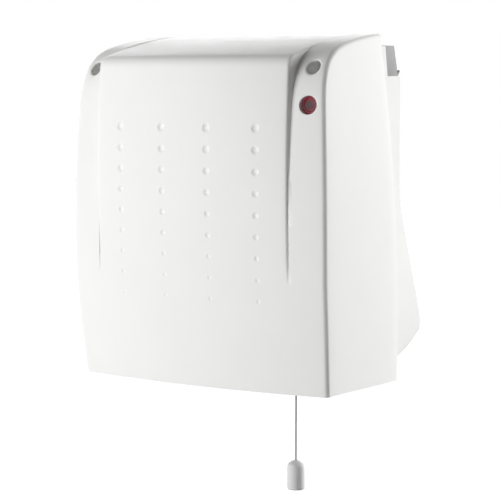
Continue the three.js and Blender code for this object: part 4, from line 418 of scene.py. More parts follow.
class Finish(Wiring):
    """A material with patterns placed on the object."""

    made = {}

    def __init__(self, name):
        self.material = bpy.data.materials.new(name)
        self.material.use_nodes = True
        super().__init__(self.material.node_tree)
        self.shader = self.tree.nodes["Principled BSDF"]
        self.places = self.node("TexCoord").outputs
        self.coordinates = self.places["Object"]

    def set(self, **values):
        """Feed the shader's sockets, and hand over the material."""
        for key, value in values.items():
            self.feed(self.shader.inputs[key.replace("_", " ")], value)
        return self.material

    def scaled(self, x, y, z):
        values = {"Vector": self.coordinates, "Scale": (x, y, z)}
        return self.node("Mapping", values).outputs["Vector"]

    def noise(self, size, detail=3, roughness=0.5, vector=None):
        """Cloudy variation with features of about this size, from 0 to 1."""
        values = {"Scale": 1 / size, "Detail": detail, "Roughness": roughness}
        values["Vector"] = vector or self.coordinates
        return self.node("TexNoise", values).outputs["Fac"]

    def cells(self, scale, channel):
        """A pattern of cells, each with a level of its own from 0 to 1."""
        values = {"Vector": self.coordinates, "Scale": scale}
        colours = self.node("TexVoronoi", values).outputs["Color"]
        return self.node("SeparateColor", {"Color": colours}).outputs[channel]

    def bands(self, direction, vector=None, **values):
        """Parallel bands that follow each other in a direction, from 0 to 1."""
        values = {key.replace("_", " "): value for key, value in values.items()}
        values["Vector"] = vector or self.coordinates
        settings = {"wave_type": "BANDS", "bands_direction": direction}
        return self.node("TexWave", values, **settings).outputs["Fac"]

    def ranged(self, value, low=0, high=1, from_low=0.3, from_high=0.7):
        values = {"From Min": from_low, "From Max": from_high, "To Min": low, "To Max": high}
        return self.node("MapRange", {"Value": value, **values}).outputs["Result"]

    def mixed(self, factor, first, second):
        values = {0: factor, 6: first, 7: second}
        return self.node("Mix", values, data_type="RGBA").outputs[2]

    def tinted(self, factor, base, amount):
        """The base colour, darkened by the amount where the factor is high."""
        darker = [c * (1 - amount) for c in base]
        return self.mixed(factor, (*base, 1), (*darker, 1))

    def bumped(self, height, depth):
        return self.node("Bump", {"Height": height, "Distance": depth}).outputs["Normal"]


def patterned(name, base, tint, rough, bump, **constants):
    """A surface from three noises, each given as (feature size, detail, roughness).

    tint adds by how much it darkens the base, rough the lowest and highest roughness, and
    bump its depth.
    """
    finish = Finish(name)
    return finish.set(
        Base_Color=finish.tinted(finish.ranged(finish.noise(*tint[0])), base, tint[1]),
        Roughness=finish.ranged(finish.noise(*rough[0]), *rough[1:]),
        Normal=finish.bumped(finish.noise(*bump[0]), bump[1]),
        **constants,
    )


def moulding(name, base, roughness, grain, depth, mottle, coat=0.0):
    """Injection-moulded plastic: faint flow mottling and a fine tool texture."""
    return patterned(
        name, base, ((0.035,), mottle), ((0.012,), roughness - 0.03, roughness + 0.04),
        ((grain, 2), depth), Coat_Weight=coat, Coat_Roughness=0.08,
    )


def painted(name, base):
    """Stoved paint on steel: slight orange peel and a dust of dirt."""
    dirt = (0.02, 5, 0.6)
    return patterned(name, base, (dirt, 0.07), (dirt, 0.37, 0.5), ((0.0012, 1), 0.00003))


def cast_alloy(name, base):
    skin = (0.0011, 5, 0.65)
    return patterned(
        name, base, (skin, 0.18), (skin, 0.42, 0.66), (skin, 0.00008), Metallic=0.8
    )


def rubbery(name, base):
    bloom = (0.008, 5)
    return patterned(name, base, (bloom, -0.5), (bloom, 0.62, 0.82), ((0.0007,), 0.00003))


def insulation(name, base):
    return patterned(
        name, base, ((0.01,), 0.15), ((0.004,), 0.32, 0.46), ((0.0009,), 0.00001),
        Specular_IOR_Level=0.4,
    )


def zinc_sheet(name, base):
    """Zinc-plated sheet steel with its crystal pattern and rolling lines."""
    finish = Finish(name)
    spangle = finish.cells(170.0, "Red")
    lines = finish.noise(0.004, detail=4, vector=finish.scaled(0.08, 1, 1))
    return finish.set(
        Base_Color=finish.tinted(spangle, base, 0.16),
        Metallic=0.85,
        Roughness=finish.ranged(spangle, 0.31, 0.5, 0, 1),
        Normal=finish.bumped(lines, 0.00002),
    )


def bright_steel(name, base, roughness, along=(1, 1, 1)):
    """Turned or ground steel: fine lines along a direction, with tarnish."""
    finish = Finish(name)
    lines = finish.noise(0.0006, detail=4, vector=finish.scaled(*along))
    return finish.set(
        Base_Color=finish.tinted(finish.ranged(finish.noise(0.006, detail=4)), base, 0.22),
        Metallic=0.95,
        Roughness=finish.ranged(lines, roughness - 0.08, roughness + 0.12),
        Normal=finish.bumped(lines, 0.000012),
    )


def stacked_steel(name, base):
    """Electrical steel sheets stacked along X, with scale on them."""
    finish = Finish(name)
    scale = finish.noise(0.005, detail=5)
    sheets = finish.bands("X", Scale=100.0, Distortion=0.3, Detail_Scale=4.0)
    return finish.set(
        Base_Color=finish.tinted(finish.ranged(scale), base, 0.35),
        Metallic=0.7,
        Roughness=finish.ranged(scale, 0.45, 0.7),
        Normal=finish.bumped(sheets, 0.00006),
    )


def winding(name, base):
    """Layers of enamelled wire wound side by side along Y, under varnish."""
    finish = Finish(name)
    turns = finish.bands("Y", Scale=110.0, Distortion=0.6, Detail=1.0)
    return finish.set(
        Base_Color=finish.tinted(finish.ranged(turns, 1, 0, 0, 0.5), base, 0.5),
        Metallic=0.55,
        Roughness=finish.ranged(finish.noise(0.006), 0.22, 0.4),
        Normal=finish.bumped(turns, 0.00018),
        Coat_Weight=0.4,
        Coat_Roughness=0.12,
    )


def mica_sheet(name, base):
    """Pressed mica: small flakes that catch the light."""
    finish = Finish(name)
    flake = finish.cells(420.0, "Green")
    return finish.set(
        Base_Color=finish.tinted(flake, base, 0.3),
        Roughness=finish.ranged(flake, 0.3, 0.65, 0, 1),
        Metallic=0.15,
        Normal=finish.bumped(flake, 0.00003),
    )


def hot_ribbon(name, base):
    """Resistance alloy with straw and blue heat tint."""
    finish = Finish(name)
    heat = finish.ranged(finish.noise(0.018))
    straw = finish.mixed(heat, (*base, 1), (*srgb(128, 104, 74), 1))
    cooler = finish.ranged(finish.noise(0.03), 0, 0.6)
    return finish.set(
        Base_Color=finish.mixed(cooler, straw, (*srgb(78, 84, 104), 1)),
        Metallic=0.9,
        Roughness=finish.ranged(heat, 0.3, 0.5, 0, 1),
        Normal=finish.bumped(finish.noise(0.0009, vector=finish.scaled(1, 1, 8)), 0.00002),
    )


def red_lens_with_painted_light(name, base, middle):
    """Translucent red moulding, polished, with painted light: dull dark red in the middle as a
    painted reflection veil, and bright crimson towards the rim as a painted rim highlight.
    """
    finish = Finish(name)
    streaks = finish.noise(0.003, detail=2)
    offset = finish.node("VectorMath", {0: finish.coordinates, 1: middle}, operation="SUBTRACT")
    level = finish.node("VectorMath", {0: offset.outputs[0], 1: (1, 0, 1)}, operation="MULTIPLY")
    reach = finish.node("VectorMath", {0: level.outputs[0]}, operation="LENGTH").outputs["Value"]
    return finish.set(
        # Painted light: the red fades from a dull dark middle (painted reflection veil) to bright
        # crimson at the rim (painted rim highlight).
        Base_Color=finish.mixed(
            finish.ranged(reach, 0, 1, 0.0028, 0.0052),
            (*srgb(78, 40, 46), 1),
            finish.tinted(finish.ranged(streaks), base, 0.3),
        ),
        Roughness=finish.ranged(streaks, 0.08, 0.16),
        IOR=1.49,
        Transmission_Weight=0.35,
        Normal=finish.bumped(finish.noise(0.002, detail=1), 0.00002),
        Coat_Weight=0.3,
        Coat_Roughness=0.05,
    )


def lamp_glass(name):
    finish = Finish(name)
    glow = finish.noise(0.002, detail=2)
    pale, deep = srgb(236, 172, 120), srgb(214, 128, 74)
    return finish.set(
        Base_Color=finish.mixed(finish.ranged(glow), (*pale, 1), (*deep, 1)),
        Roughness=finish.ranged(glow, 0.04, 0.1),
        IOR=1.5,
        Transmission_Weight=0.7,
    )


def braid(name, base):
    """Braided cord: two sets of yarns that cross, drawn on the cord's own map."""
    finish = Finish(name)

    def yarns(degrees):
        values = {"Vector": finish.places["UV"], "Rotation": (0, 0, math.radians(degrees))}
        placed = finish.node("Mapping", values).outputs["Vector"]
        return finish.bands("X", vector=placed, Scale=1.35, Distortion=0.4)

    crossing = finish.node("Math", {0: yarns(38), 1: yarns(-38)}, operation="MAXIMUM").outputs[0]
    return finish.set(
        Base_Color=finish.tinted(finish.ranged(crossing, 1, 0, 0.2, 0.9), base, 0.28),
        Roughness=0.82,
        Sheen_Weight=0.25,
        Normal=finish.bumped(crossing, 0.00012),
    )


def finishes():
    """All the heater's finishes, made once."""
    if Finish.made:
        return Finish.made
    colours = bpy.context.scene.heater_finishes
    low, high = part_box("neon_lens")
    Finish.made.update(
        cover=moulding("glossy white moulding", colours.cover, 0.32, 0.0009, 0.000004, 0.012),
        casing=moulding("matt white moulding", colours.casing, 0.5, 0.0005, 0.00002, 0.02),
        knob=moulding("knob moulding", colours.knob, 0.3, 0.0009, 0.000004, 0.02, coat=0.2),
        grille=moulding("grey grille moulding", srgb(120, 123, 125), 0.55, 0.0005, 0.00002, 0.05),
        impeller=moulding("charcoal fan moulding", srgb(52, 54, 57), 0.5, 0.0006, 0.00002, 0.12),
        switch=moulding("ivory switch moulding", srgb(228, 226, 218), 0.42, 0.0006, 0.00001, 0.03),
        lever=moulding("lever moulding", srgb(201, 198, 188), 0.45, 0.0006, 0.00001, 0.03),
        rail=painted("grey stoved paint", colours.rail),
        zinc=zinc_sheet("zinc-plated sheet", colours.zinc),
        screw=bright_steel("zinc-plated screw", colours.screw, 0.34),
        shaft=bright_steel("ground steel shaft", srgb(200, 202, 204), 0.2, along=(0.05, 1, 1)),
        bronze=bright_steel("sintered bronze", srgb(154, 122, 72), 0.42),
        alloy=cast_alloy("cast alloy", srgb(169, 173, 177)),
        core=stacked_steel("stacked sheet steel", srgb(107, 110, 114)),
        coil=winding("enamelled winding", srgb(162, 88, 44)),
        rubber=rubbery("black rubber", srgb(42, 42, 43)),
        mica=mica_sheet("pressed mica", srgb(201, 189, 156)),
        ribbon=hot_ribbon("resistance ribbon", srgb(125, 122, 116)),
        lens=red_lens_with_painted_light("red lens", colours.lens, (low + high) / 2),
        lamp=lamp_glass("neon lamp"),
        cord=braid("braided cord", srgb(176, 176, 176)),
    )
    for hue, base in WIRE_COLOURS.items():
        Finish.made[hue] = insulation(hue + " insulation", srgb(*base))
    return Finish.made


# ------------------------------------------------------------------------- the cover's shape


class CoverShape:
    """The formulas that the cover's skin follows, in heights above its bottom edge."""

    def __init__(self, sizes):
        self.s = sizes

    def half_width(self, z):
        return self.s.width / 2 - (z - self.s.side_widest_at) ** 2 / (2 * self.s.side_arc_radius)

    def panel_y(self, z):
        fall = (z - self.s.fullest_at) ** 2 / (2 * self.s.front_arc_radius)
        return -self.s.corner_to_wall - self.s.bulge + fall

    def rail_y(self, z):
        return self.panel_y(z) + self.s.rail_lean * max(0, z - self.s.rail_lean_from)

    def rear_y(self, z):
        return -self.s.rear_to_wall - self.s.rear_lean * z

    def top_z(self, y):
        ahead = self.rear_y(self.s.height) - y
        return self.s.height - self.s.top_slope * ahead - ahead**2 / (2 * self.s.top_arc_radius)

    def top_fall(self, y):
        return self.s.top_slope + (self.rear_y(self.s.height) - y) / self.s.top_arc_radius

    def bow(self, x, z):
        return self.s.bow * (1 - (x / self.half_width(z)) ** 2)

    def sag(self, x, z):
        """How far the panel falls back towards its edges, more at the top than at the bottom."""
        step = self.s.rail_lean * max(0, z - self.s.rail_lean_from)
        return self.s.panel_sag * step * min(1, (x / self.s.panel_half_width) ** 2)

    def profile(self, kind, rows):
        """Points [y, z] up the front, round the shoulder and back along the top."""
        s = self.s
        if kind == "panel":
            front, reach, fullness = self.panel_y, s.nose_radius, s.nose_fullness
            shoulder = self.top_z(self.panel_y(s.height)) - s.nose_radius
        else:
            front, reach, fullness = self.rail_y, s.shoulder_reach, s.shoulder_fullness
            shoulder = s.height - s.shoulder_drop
        start = np.array([front(shoulder), shoulder])
        end_y = start[0] + reach
        end = np.array([end_y, self.top_z(end_y)])
        rise = (end[1] - start[1]) * fullness
        run = reach * fullness
        small = 0.001
        lean = (front(shoulder + small) - front(shoulder)) / small
        handles = [start + [lean * rise, rise], end - [run, run * self.top_fall(end_y)]]
        rear = self.rear_y(s.height)
        spans = {"lower": (0, s.rail_lean_from), "upper": (s.rail_lean_from, shoulder)}
        points = []
        for part, t in rows:
            if part in spans:
                low, high = spans[part]
                z = low + (high - low) * t
                points.append([front(z), z])
            elif part == "shoulder":
                u = 1 - t
                weights = (u**3, 3 * u * u * t, 3 * u * t * t, t**3)
                points.append(sum(w * p for w, p in zip(weights, (start, *handles, end))))
            else:
                y = end_y + (rear - end_y) * t
                points.append([y, self.top_z(y)])
        return np.array(points)

    def rail_surface(self, x, z):
        """The rail's face at a place, with its shoulder."""
        rows = [("upper", t) for t in np.linspace(0, 1, 12, endpoint=False)]
        rows += [("shoulder", t) for t in np.linspace(0, 1, 80)]
        profile = self.profile("rail", rows)
        return float(np.interp(z, profile[:, 1], profile[:, 0])) - self.bow(x, z)


def inward(profile):
    """Unit normals that point into the cover, one for each profile point."""
    along = np.gradient(profile, axis=0)
    along /= np.linalg.norm(along, axis=1)[:, None]
    return np.stack([along[:, 1], -along[:, 0]], axis=1)


def clustered(centres, reaches, low, high, steps, between):
    """Places from low to high, close together round each centre and wide apart between them."""
    places = {round(low, 7), round(high, 7)}
    edge = low
    for centre, reach in zip(centres, reaches):
        places.update(round(v, 7) for v in np.linspace(centre - reach, centre + reach, steps))
        places.update(round(v, 7) for v in np.linspace(edge, centre - reach, between + 1))
        edge = centre + reach
    places.update(round(v, 7) for v in np.linspace(edge, high, between + 1))
    return sorted(places)


def dimple_places(details):
    """The columns' places across, and each row's height and radius."""
    columns = [
        (i - (details.dimple_columns - 1) / 2) * details.dimple_column_pitch
        for i in range(details.dimple_columns)
    ]
    rows = []
    for i in range(details.dimple_rows):
        rise = i / (details.dimple_rows - 1)
        diameter = details.dimple_bottom_diameter * (1 - rise) + details.dimple_top_diameter * rise
        rows.append((details.dimple_bottom_at + i * details.dimple_row_pitch, diameter / 2))
    return columns, rows


def cover_rows(sizes, shape, details):
    """Rows up the cover, close together across each row of dimples."""
    _, rows = dimple_places(details)
    split = sizes.rail_lean_from
    top = shape.top_z(shape.panel_y(sizes.height)) - sizes.nose_radius
    reaches = [radius * DIMPLE_REACH for _, radius in rows]
    heights = clustered([z for z, _ in rows], reaches, 0.0, top, DIMPLE_ROW_POINTS, 3)
    lower = [("lower", z / split) for z in heights if z < split - 1e-4]
    upper = [("upper", (z - split) / (top - split)) for z in heights if z > split + 1e-4]
    shoulder = [("shoulder", t) for t in np.linspace(0, 1, NOSE_POINTS)[1:-1]]
    back = [("top", t) for t in np.linspace(0, 1, TOP_POINTS)]
    return lower + [("upper", 0.0)] + upper + shoulder + back


def cover_grid(sizes, details):
    """The cover's outer skin as a grid of points, columns from left to right."""
    shape = CoverShape(sizes)
    rows = cover_rows(sizes, shape, details)
    profiles = {kind: shape.profile(kind, rows) for kind in ("panel", "rail")}
    normals = {kind: inward(profile) for kind, profile in profiles.items()}
    steps = np.linalg.norm(profiles["panel"] - profiles["rail"], axis=1)
    tops = [t for part, t in rows if part == "top"]
    fades = np.array([1.0] * (len(rows) - len(tops)) + [1 - t for t in tops])
    edge, corner = sizes.panel_edge_radius, sizes.corner_radius
    limits = np.minimum(edge, steps * (1 - sizes.panel_sag))
    columns, dimples = dimple_places(details)
    reach = sizes.panel_half_width - edge
    wide = [details.dimple_top_diameter / 2 * DIMPLE_REACH] * len(columns)
    across = clustered(columns, wide, -reach, reach, DIMPLE_COLUMN_POINTS, 4)

    def line(kind, place, drop):
        """A column of the grid: its place across by height, and its depth by row."""
        points = []
        for row, (y, z) in enumerate(profiles[kind]):
            x = place(z)
            ny, nz = normals[kind][row]
            depth = drop(row)
            back = (shape.sag(x, z) if kind == "panel" else 0) - shape.bow(x, z)
            points.append([x, y + back * fades[row] + ny * depth, z + nz * depth])
        return np.array(points)

    def side(z):
        return shape.half_width(z) - corner

    def flush(row):
        return 0.0

    right = []
    for angle in np.linspace(0, math.pi / 2, EDGE_POINTS)[1:]:
        right.append(line(
            "panel",
            lambda z, a=angle: reach + edge * math.sin(a),
            lambda row, a=angle: limits[row] * (1 - math.cos(a)),
        ))
    inner = sizes.panel_half_width + sizes.panel_draft
    for part in np.linspace(0, 1, RAIL_POINTS):
        right.append(line("rail", lambda z, p=part: inner + (side(z) - inner) * p, flush))
    for angle in np.linspace(0, math.pi / 2, CORNER_POINTS)[1:]:
        right.append(line(
            "rail",
            lambda z, a=angle: side(z) + corner * math.sin(a),
            lambda row, a=angle: corner * (1 - math.cos(a)),
        ))
    front = right[-1]
    rear = front.copy()
    rear[:-1, 1] = [shape.rear_y(z) for z in front[:-1, 2]]
    for part in np.linspace(0, 1, SIDE_POINTS)[1:]:
        right.append(front * (1 - part) + rear * part)
    middle = [line("panel", lambda z, x=x: x, flush) for x in across]
    for points in middle:
        for row, (y, z) in enumerate(profiles["panel"]):
            x = points[row, 0]
            for height, radius in dimples:
                if abs(z - height) > radius:
                    continue
                for centre in columns:
                    off = math.hypot(x - centre, z - height) / radius
                    if off < 1:
                        depth = 2 * radius * details.dimple_depth * (1 - off**3)
                        points[row, 1:] += normals["panel"][row] * depth
    left = [points * [-1, 1, 1] for points in reversed(right)]
    return np.array(left + middle + right)


def rounded(place):
    """A place by which a vertex is known again."""
    return tuple(round(value, 5) for value in place)


def cover_skin(sizes, details):
    """The skin laid on a grid primitive, one vertex to each point."""
    points = cover_grid(sizes, details)
    columns, rows, _ = points.shape
    nothing_selected()
    bpy.ops.mesh.primitive_grid_add(x_subdivisions=columns - 1, y_subdivisions=rows - 1, size=0.1)
    skin = named(bpy.context.object, "cover_shell")
    skin.data.vertices.foreach_set("co", points.transpose(1, 0, 2).reshape(-1))
    skin.data.update()
    return cleaned(skin, 1e-7)


def screw_place(shape, details, side):
    z = shape.s.height - details.screw_below_top
    return side * (shape.half_width(z) - details.screw_to_side), z


def neon_place(shape, details):
    z = shape.s.height - details.neon_below_top
    return shape.half_width(z) - details.neon_to_side, z


def tube_from_skin(shape, radius, x, z, end):
    """A solid tube whose front end follows the rail's face, halfway into its wall."""
    tube = cylinder(radius, shape.rail_surface(x, z), end, "y", (x, 0, z))
    middle = (shape.rail_surface(x, z) + end) / 2
    for vertex in tube.data.vertices:
        if vertex.co.y < middle:
            vertex.co.y = shape.rail_surface(vertex.co.x, vertex.co.z) + shape.s.wall / 2
    return tube


def bore_from_skin(shape, radius, mouth, x, z, end):
    """A cutter with a flared front end, which rounds the mouth where it meets the rail's face."""
    clear, lip = 0.02, 0.0002
    wide = radius + mouth + lip
    outline = [(0, -clear), (wide, -clear), (wide, -lip / 2)]
    for angle in quarter(7):
        outline.append((radius + mouth * (1 - math.sin(angle)), mouth * (1 - math.cos(angle))))
    front = shape.rail_surface(x, z)
    outline += [(radius, end - front), (0, end - front)]
    cutter = turned("mouth_cutter", outline, (x, 0, z), "y")
    for vertex in cutter.data.vertices:
        follows = -clear / 2 < vertex.co.y < mouth + lip
        place = (vertex.co.x, vertex.co.z) if follows else (x, z)
        vertex.co.y += shape.rail_surface(*place)
    return cutter


# ------------------------------------------------------------------------- operators


class HEATER_OT_stage(bpy.types.Operator):
    """Make the camera, the lights, the pale surroundings and the floor"""

    bl_idname = "heater.stage"
    bl_label = "Stage"

    def execute(self, context):
        scene = context.scene
        scene.view_settings.view_transform = "Standard"
        optics = bpy.data.cameras.new("camera")
        optics.lens, optics.sensor_width = CAMERA_LENS, CAMERA_SENSOR
        optics.clip_start, optics.clip_end = 0.05, 60
        camera = bpy.data.objects.new("camera", optics)
        x, y, z = CAMERA_PLACE
        camera.location = (x, y, z + BOTTOM)
        camera.rotation_euler = (math.radians(90 - CAMERA_DIP), 0, math.radians(CAMERA_TURN))
        scene.collection.objects.link(camera)
        scene.camera = camera
        levels = scene.heater_lights
        for name, place in LAMPS.items():
            self.lamp(name, getattr(levels, name), *place)
        self.surroundings(scene, levels)
        self.floor()
        return {"FINISHED"}

    def lamp(self, name, power, azimuth, elevation, size, reflected):
        data = bpy.data.lights.new(name + " softbox", "AREA")
        data.energy = power
        data.shape = "RECTANGLE"
        data.size, data.size_y = size
        lamp = bpy.data.objects.new(data.name, data)
        turn, rise = math.radians(azimuth), math.radians(elevation)
        level = math.cos(rise)
        way = Vector((math.sin(turn) * level, -math.cos(turn) * level, math.sin(rise)))
        x, y, z = LAMP_AIM
        lamp.location = Vector((x, y, BOTTOM + z)) + way * LAMP_DISTANCE
        lamp.rotation_euler = way.to_track_quat("Z", "Y").to_euler()
        lamp.visible_glossy = reflected
        bpy.context.scene.collection.objects.link(lamp)

    def surroundings(self, scene, levels):
        """White to the camera, fading downwards in reflections and faint as a light."""
        scene.world = bpy.data.worlds.new("pale surroundings")
        scene.world.use_nodes = True
        wiring = Wiring(scene.world.node_tree)
        way = wiring.node("SeparateXYZ", {0: wiring.node("TexCoord").outputs["Generated"]})
        fade = wiring.node("MapRange", {
            "Value": way.outputs["Z"], "From Min": FADE_FROM, "From Max": FADE_TO,
            "To Min": FADED, "To Max": levels.reflected,
        }).outputs[0]
        path = wiring.node("LightPath").outputs
        total = 0
        for kind, strength in (
            ("Camera", 1), ("Transmission", 1), ("Glossy", fade), ("Diffuse", levels.around),
        ):
            values = {0: path[f"Is {kind} Ray"], 1: strength, 2: total}
            total = wiring.node("Math", values, operation="MULTIPLY_ADD").outputs[0]
        light = wiring.tree.nodes["Background"].inputs
        wiring.feed(light["Color"], (1, 1, 1, 1))
        wiring.feed(light["Strength"], total)

    def floor(self):
        """A floor that glows for the camera, also through glass, and lights nothing."""
        nothing_selected()
        place = (0, 0, BOTTOM - FLOOR_BELOW)
        bpy.ops.mesh.primitive_plane_add(size=FLOOR_SIZE, location=place)
        floor = settle(named(bpy.context.object, "floor"))
        finish = Finish("pale floor")
        patches = finish.ranged(finish.noise(0.9))
        pale = finish.tinted(patches, (0.86, 0.86, 0.86), 0.02)
        floor.data.materials.append(finish.set(Base_Color=pale, Roughness=0.8))
        path = finish.node("LightPath").outputs
        values = {0: path["Is Camera Ray"], 1: path["Is Transmission Ray"]}
        seen = finish.node("Math", values, operation="MAXIMUM").outputs[0]
        matt, glow = finish.shader.outputs[0], finish.node("Emission").outputs[0]
        lit = finish.node("AddShader", {0: matt, 1: glow}).outputs[0]
        mix = finish.node("MixShader", {0: seen, 1: matt, 2: lit}).outputs[0]
        finish.feed(finish.tree.nodes["Material Output"].inputs["Surface"], mix)
        floor.visible_glossy = False


class HEATER_OT_pull_cord(bpy.types.Operator):
    """Hang the braided cord from the switch lever, with its knob"""

    bl_idname = "heater.pull_cord"
    bl_label = "Pull cord and knob"

    def execute(self, context):
        sizes = context.scene.heater_cord
        look = finishes()
        low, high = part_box("pull_cord")
        exit_point = Vector((sizes.to_middle, -sizes.to_wall, high.z))
        end_point = Vector((sizes.to_middle, -sizes.to_wall, low.z))
        route = [exit_point.lerp(end_point, i / 24) for i in range(25)]
        cord = self.braided(route, sizes.diameter / 2)
        knob = self.knob(sizes)
        deliver(cord, "cord", "cord_white", look["cord"], "pull_cord")
        deliver(knob, "cord", "knob_plastic", look["knob"], "pull_knob")
        dress(look["screw"], "cord_ferrule")
        return {"FINISHED"}

    def braided(self, route, radius):
        """A round tube with its own map: across it once round, along it by length."""
        sides, cuts = 16, 100
        start, end = route[0], route[-1]
        tube = cylinder(radius, end.z, start.z, "z", (start.x, start.y, 0), sides)
        piece = named(tube, "braided_cord")
        select_edges(piece, lambda a, b: abs(a.z - b.z) > radius)
        with editing(piece, everything=False):
            bpy.ops.mesh.subdivide(number_cuts=cuts)
        mesh = piece.data
        layer = mesh.uv_layers.active
        for face in mesh.polygons:
            corners = [mesh.vertices[i].co - start for i in face.vertices]
            turns = [math.atan2(co.y, co.x) / (2 * math.pi) % 1 for co in corners]
            wraps = max(turns) - min(turns) > 0.5 and len(turns) == 4
            for index, co, turn in zip(face.loop_indices, corners, turns):
                around = turn + 1 if wraps and turn < 0.5 else turn
                layer.data[index].uv = (around * 2, -co.z / (math.pi * radius))
        return smoothed(piece, 50)

    def knob(self, sizes):
        """A bullet bored for the cord, with a rounded foot and a slight dish under it."""
        top = sizes.knob_top_at
        bottom = top - sizes.knob_height
        shoulder = top - sizes.knob_dome
        upper, lower = sizes.knob_top_radius, sizes.knob_bottom_radius
        bore, bore_end = sizes.diameter / 2 + 0.0003, top - 0.007
        mouth, mouth_depth, brim = 0.0006, 0.0004, 0.00005
        parting, parting_step = 0.004, 0.0001
        foot, dish, dish_slant, dish_depth = 0.0016, 0.0035, 0.0003, 0.0006
        outline = [(bore, bore_end), (bore, top - mouth_depth), (bore + mouth, top - brim)]
        for angle in quarter(18, 3):
            outline.append((upper * math.sin(angle), shoulder + sizes.knob_dome * math.cos(angle)))
        outline += [(upper + parting_step, shoulder - parting), (lower, bottom + foot)]
        for angle in quarter(6, 1):
            outline.append((
                lower - foot * (1 - math.cos(angle)), bottom + foot * (1 - math.sin(angle)),
            ))
        inside = bottom + dish_depth
        outline += [(dish, bottom), (dish - dish_slant, inside), (0.0, inside), (0.0, bore_end)]
        knob = turned("bullet_knob", outline, (sizes.to_middle, -sizes.to_wall, 0), "z")
        return smoothed(raise_to_frame(knob), 40)


class HEATER_OT_front_cover(bpy.types.Operator):
    """Model the bowed cover with its raised panel, dimples, screw recesses and neon hole"""

    bl_idname = "heater.front_cover"
    bl_label = "Front cover"

    def execute(self, context):
        sizes, details = context.scene.heater_cover, context.scene.heater_details
        shape = CoverShape(sizes)
        shell = cover_skin(sizes, details)
        outer = {rounded(vertex.co) for vertex in shell.data.vertices}
        apply_modifier(shell, "SOLIDIFY", thickness=sizes.wall, offset=-1, use_even_offset=True)
        self.round_rim(shell, sizes, shape, outer)
        combine(shell, joined(self.fittings(details, shape)), "UNION")
        combine(shell, joined(self.bores(details, shape)), "DIFFERENCE")
        raise_to_frame(smoothed(cleaned(shell)))
        deliver(shell, "casing", "white_plastic", finishes()["cover"], "front_cover")
        return {"FINISHED"}

    def round_rim(self, shell, sizes, shape, outer):
        """Round the outer skin's rim along the bottom and the rear edges."""
        near = 0.0003

        def on_rim(a, b):
            bottom = max(a.z, b.z) < near
            rear = min(a.y - shape.rear_y(a.z), b.y - shape.rear_y(b.z)) > -near
            return (bottom or rear) and rounded(a) in outer and rounded(b) in outer

        select_edges(shell, on_rim)
        with editing(shell, everything=False):
            bpy.ops.mesh.bevel(offset=sizes.rim_radius, segments=6, clamp_overlap=True)
        for vertex in shell.data.vertices:
            vertex.co.z = min(vertex.co.z, sizes.height)

    def fittings(self, details, shape):
        """Recess walls, the tube round the neon and the two hooks inside the bottom edge."""
        hook_low, hook_high, hook_level = 0.0088, 0.0112, 0.01
        hook_bite, hook_end = 0.0016, -0.143
        pieces = []
        for side in (-1, 1):
            x, z = screw_place(shape, details, side)
            end = -details.cup_floor_at + details.cup_floor
            pieces.append(tube_from_skin(shape, details.cup_bore + details.cup_wall, x, z, end))
            inner = side * (details.hook_at - details.hook_width / 2)
            outer = side * (details.hook_at + details.hook_width / 2)
            front = shape.panel_y(hook_level) - shape.bow(inner, hook_level)
            x0, x1 = sorted((inner, outer))
            pieces.append(block(x0, x1, front + hook_bite, hook_end, hook_low, hook_high))
        x, z = neon_place(shape, details)
        end = shape.rail_y(z) - shape.bow(x, z) + details.neon_tube_depth
        pieces.append(tube_from_skin(shape, details.neon_bore + details.neon_tube_wall, x, z, end))
        return pieces

    def bores(self, details, shape):
        """Cutters for the screw recesses, the holes in their floors and the neon's hole."""
        hole_front, hole_rear, neon_end = -0.132, -0.12, -0.14
        pieces = []
        for side in (-1, 1):
            x, z = screw_place(shape, details, side)
            pieces.append(bore_from_skin(
                shape, details.cup_bore, details.cup_mouth, x, z, -details.cup_floor_at,
            ))
            pieces.append(
                cylinder(details.shank_hole, hole_front, hole_rear, "y", (x, 0, z), 24)
            )
        x, z = neon_place(shape, details)
        pieces.append(bore_from_skin(
            shape, details.neon_bore, details.neon_mouth, x, z, neon_end,
        ))
        return pieces


class HEATER_OT_neon(bpy.types.Operator):
    """Model the neon's domed red lens and dress its lamp and holder"""

    bl_idname = "heater.neon"
    bl_label = "Neon"

    def execute(self, context):
        shape = CoverShape(context.scene.heater_cover)
        x, z = neon_place(shape, context.scene.heater_details)
        low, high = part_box("neon_lens")
        radius, bead, ridges, ridge_height = 0.0068, 0.0009, 3, 0.00022
        flange, flange_thickness = 0.0081, 0.0014
        socket, socket_mouth, skin = 0.0031, 0.0032, 0.002
        steps = 8
        rim, step_back = low.y + bead, high.y - flange_thickness
        outline = [(0, rim + skin), (socket, rim + skin), (socket_mouth, high.y)]
        outline += [(flange, high.y), (flange, step_back), (radius, step_back), (radius, rim)]
        for i in range(1, steps + 1):
            angle = math.pi * i / steps
            outline.append((radius - bead * (1 - math.cos(angle)), rim - bead * math.sin(angle)))
        dish = radius - 2 * bead
        for i in range(1, steps * ridges + 1):
            part = i / (steps * ridges)
            wave = ridge_height * (1 - math.cos(2 * math.pi * ridges * part)) / 2
            outline.append((dish * (1 - part), rim - wave))
        lens = turned("neon_lens_dome", outline, (x, 0, z + BOTTOM), "y", steps=48)
        look = finishes()
        deliver(smoothed(lens, 30), "casing", "neon_red", look["lens"], "neon_lens")
        dress(look["lamp"], "neon_lamp")
        dress(look["black"], "neon_holder")
        return {"FINISHED"}


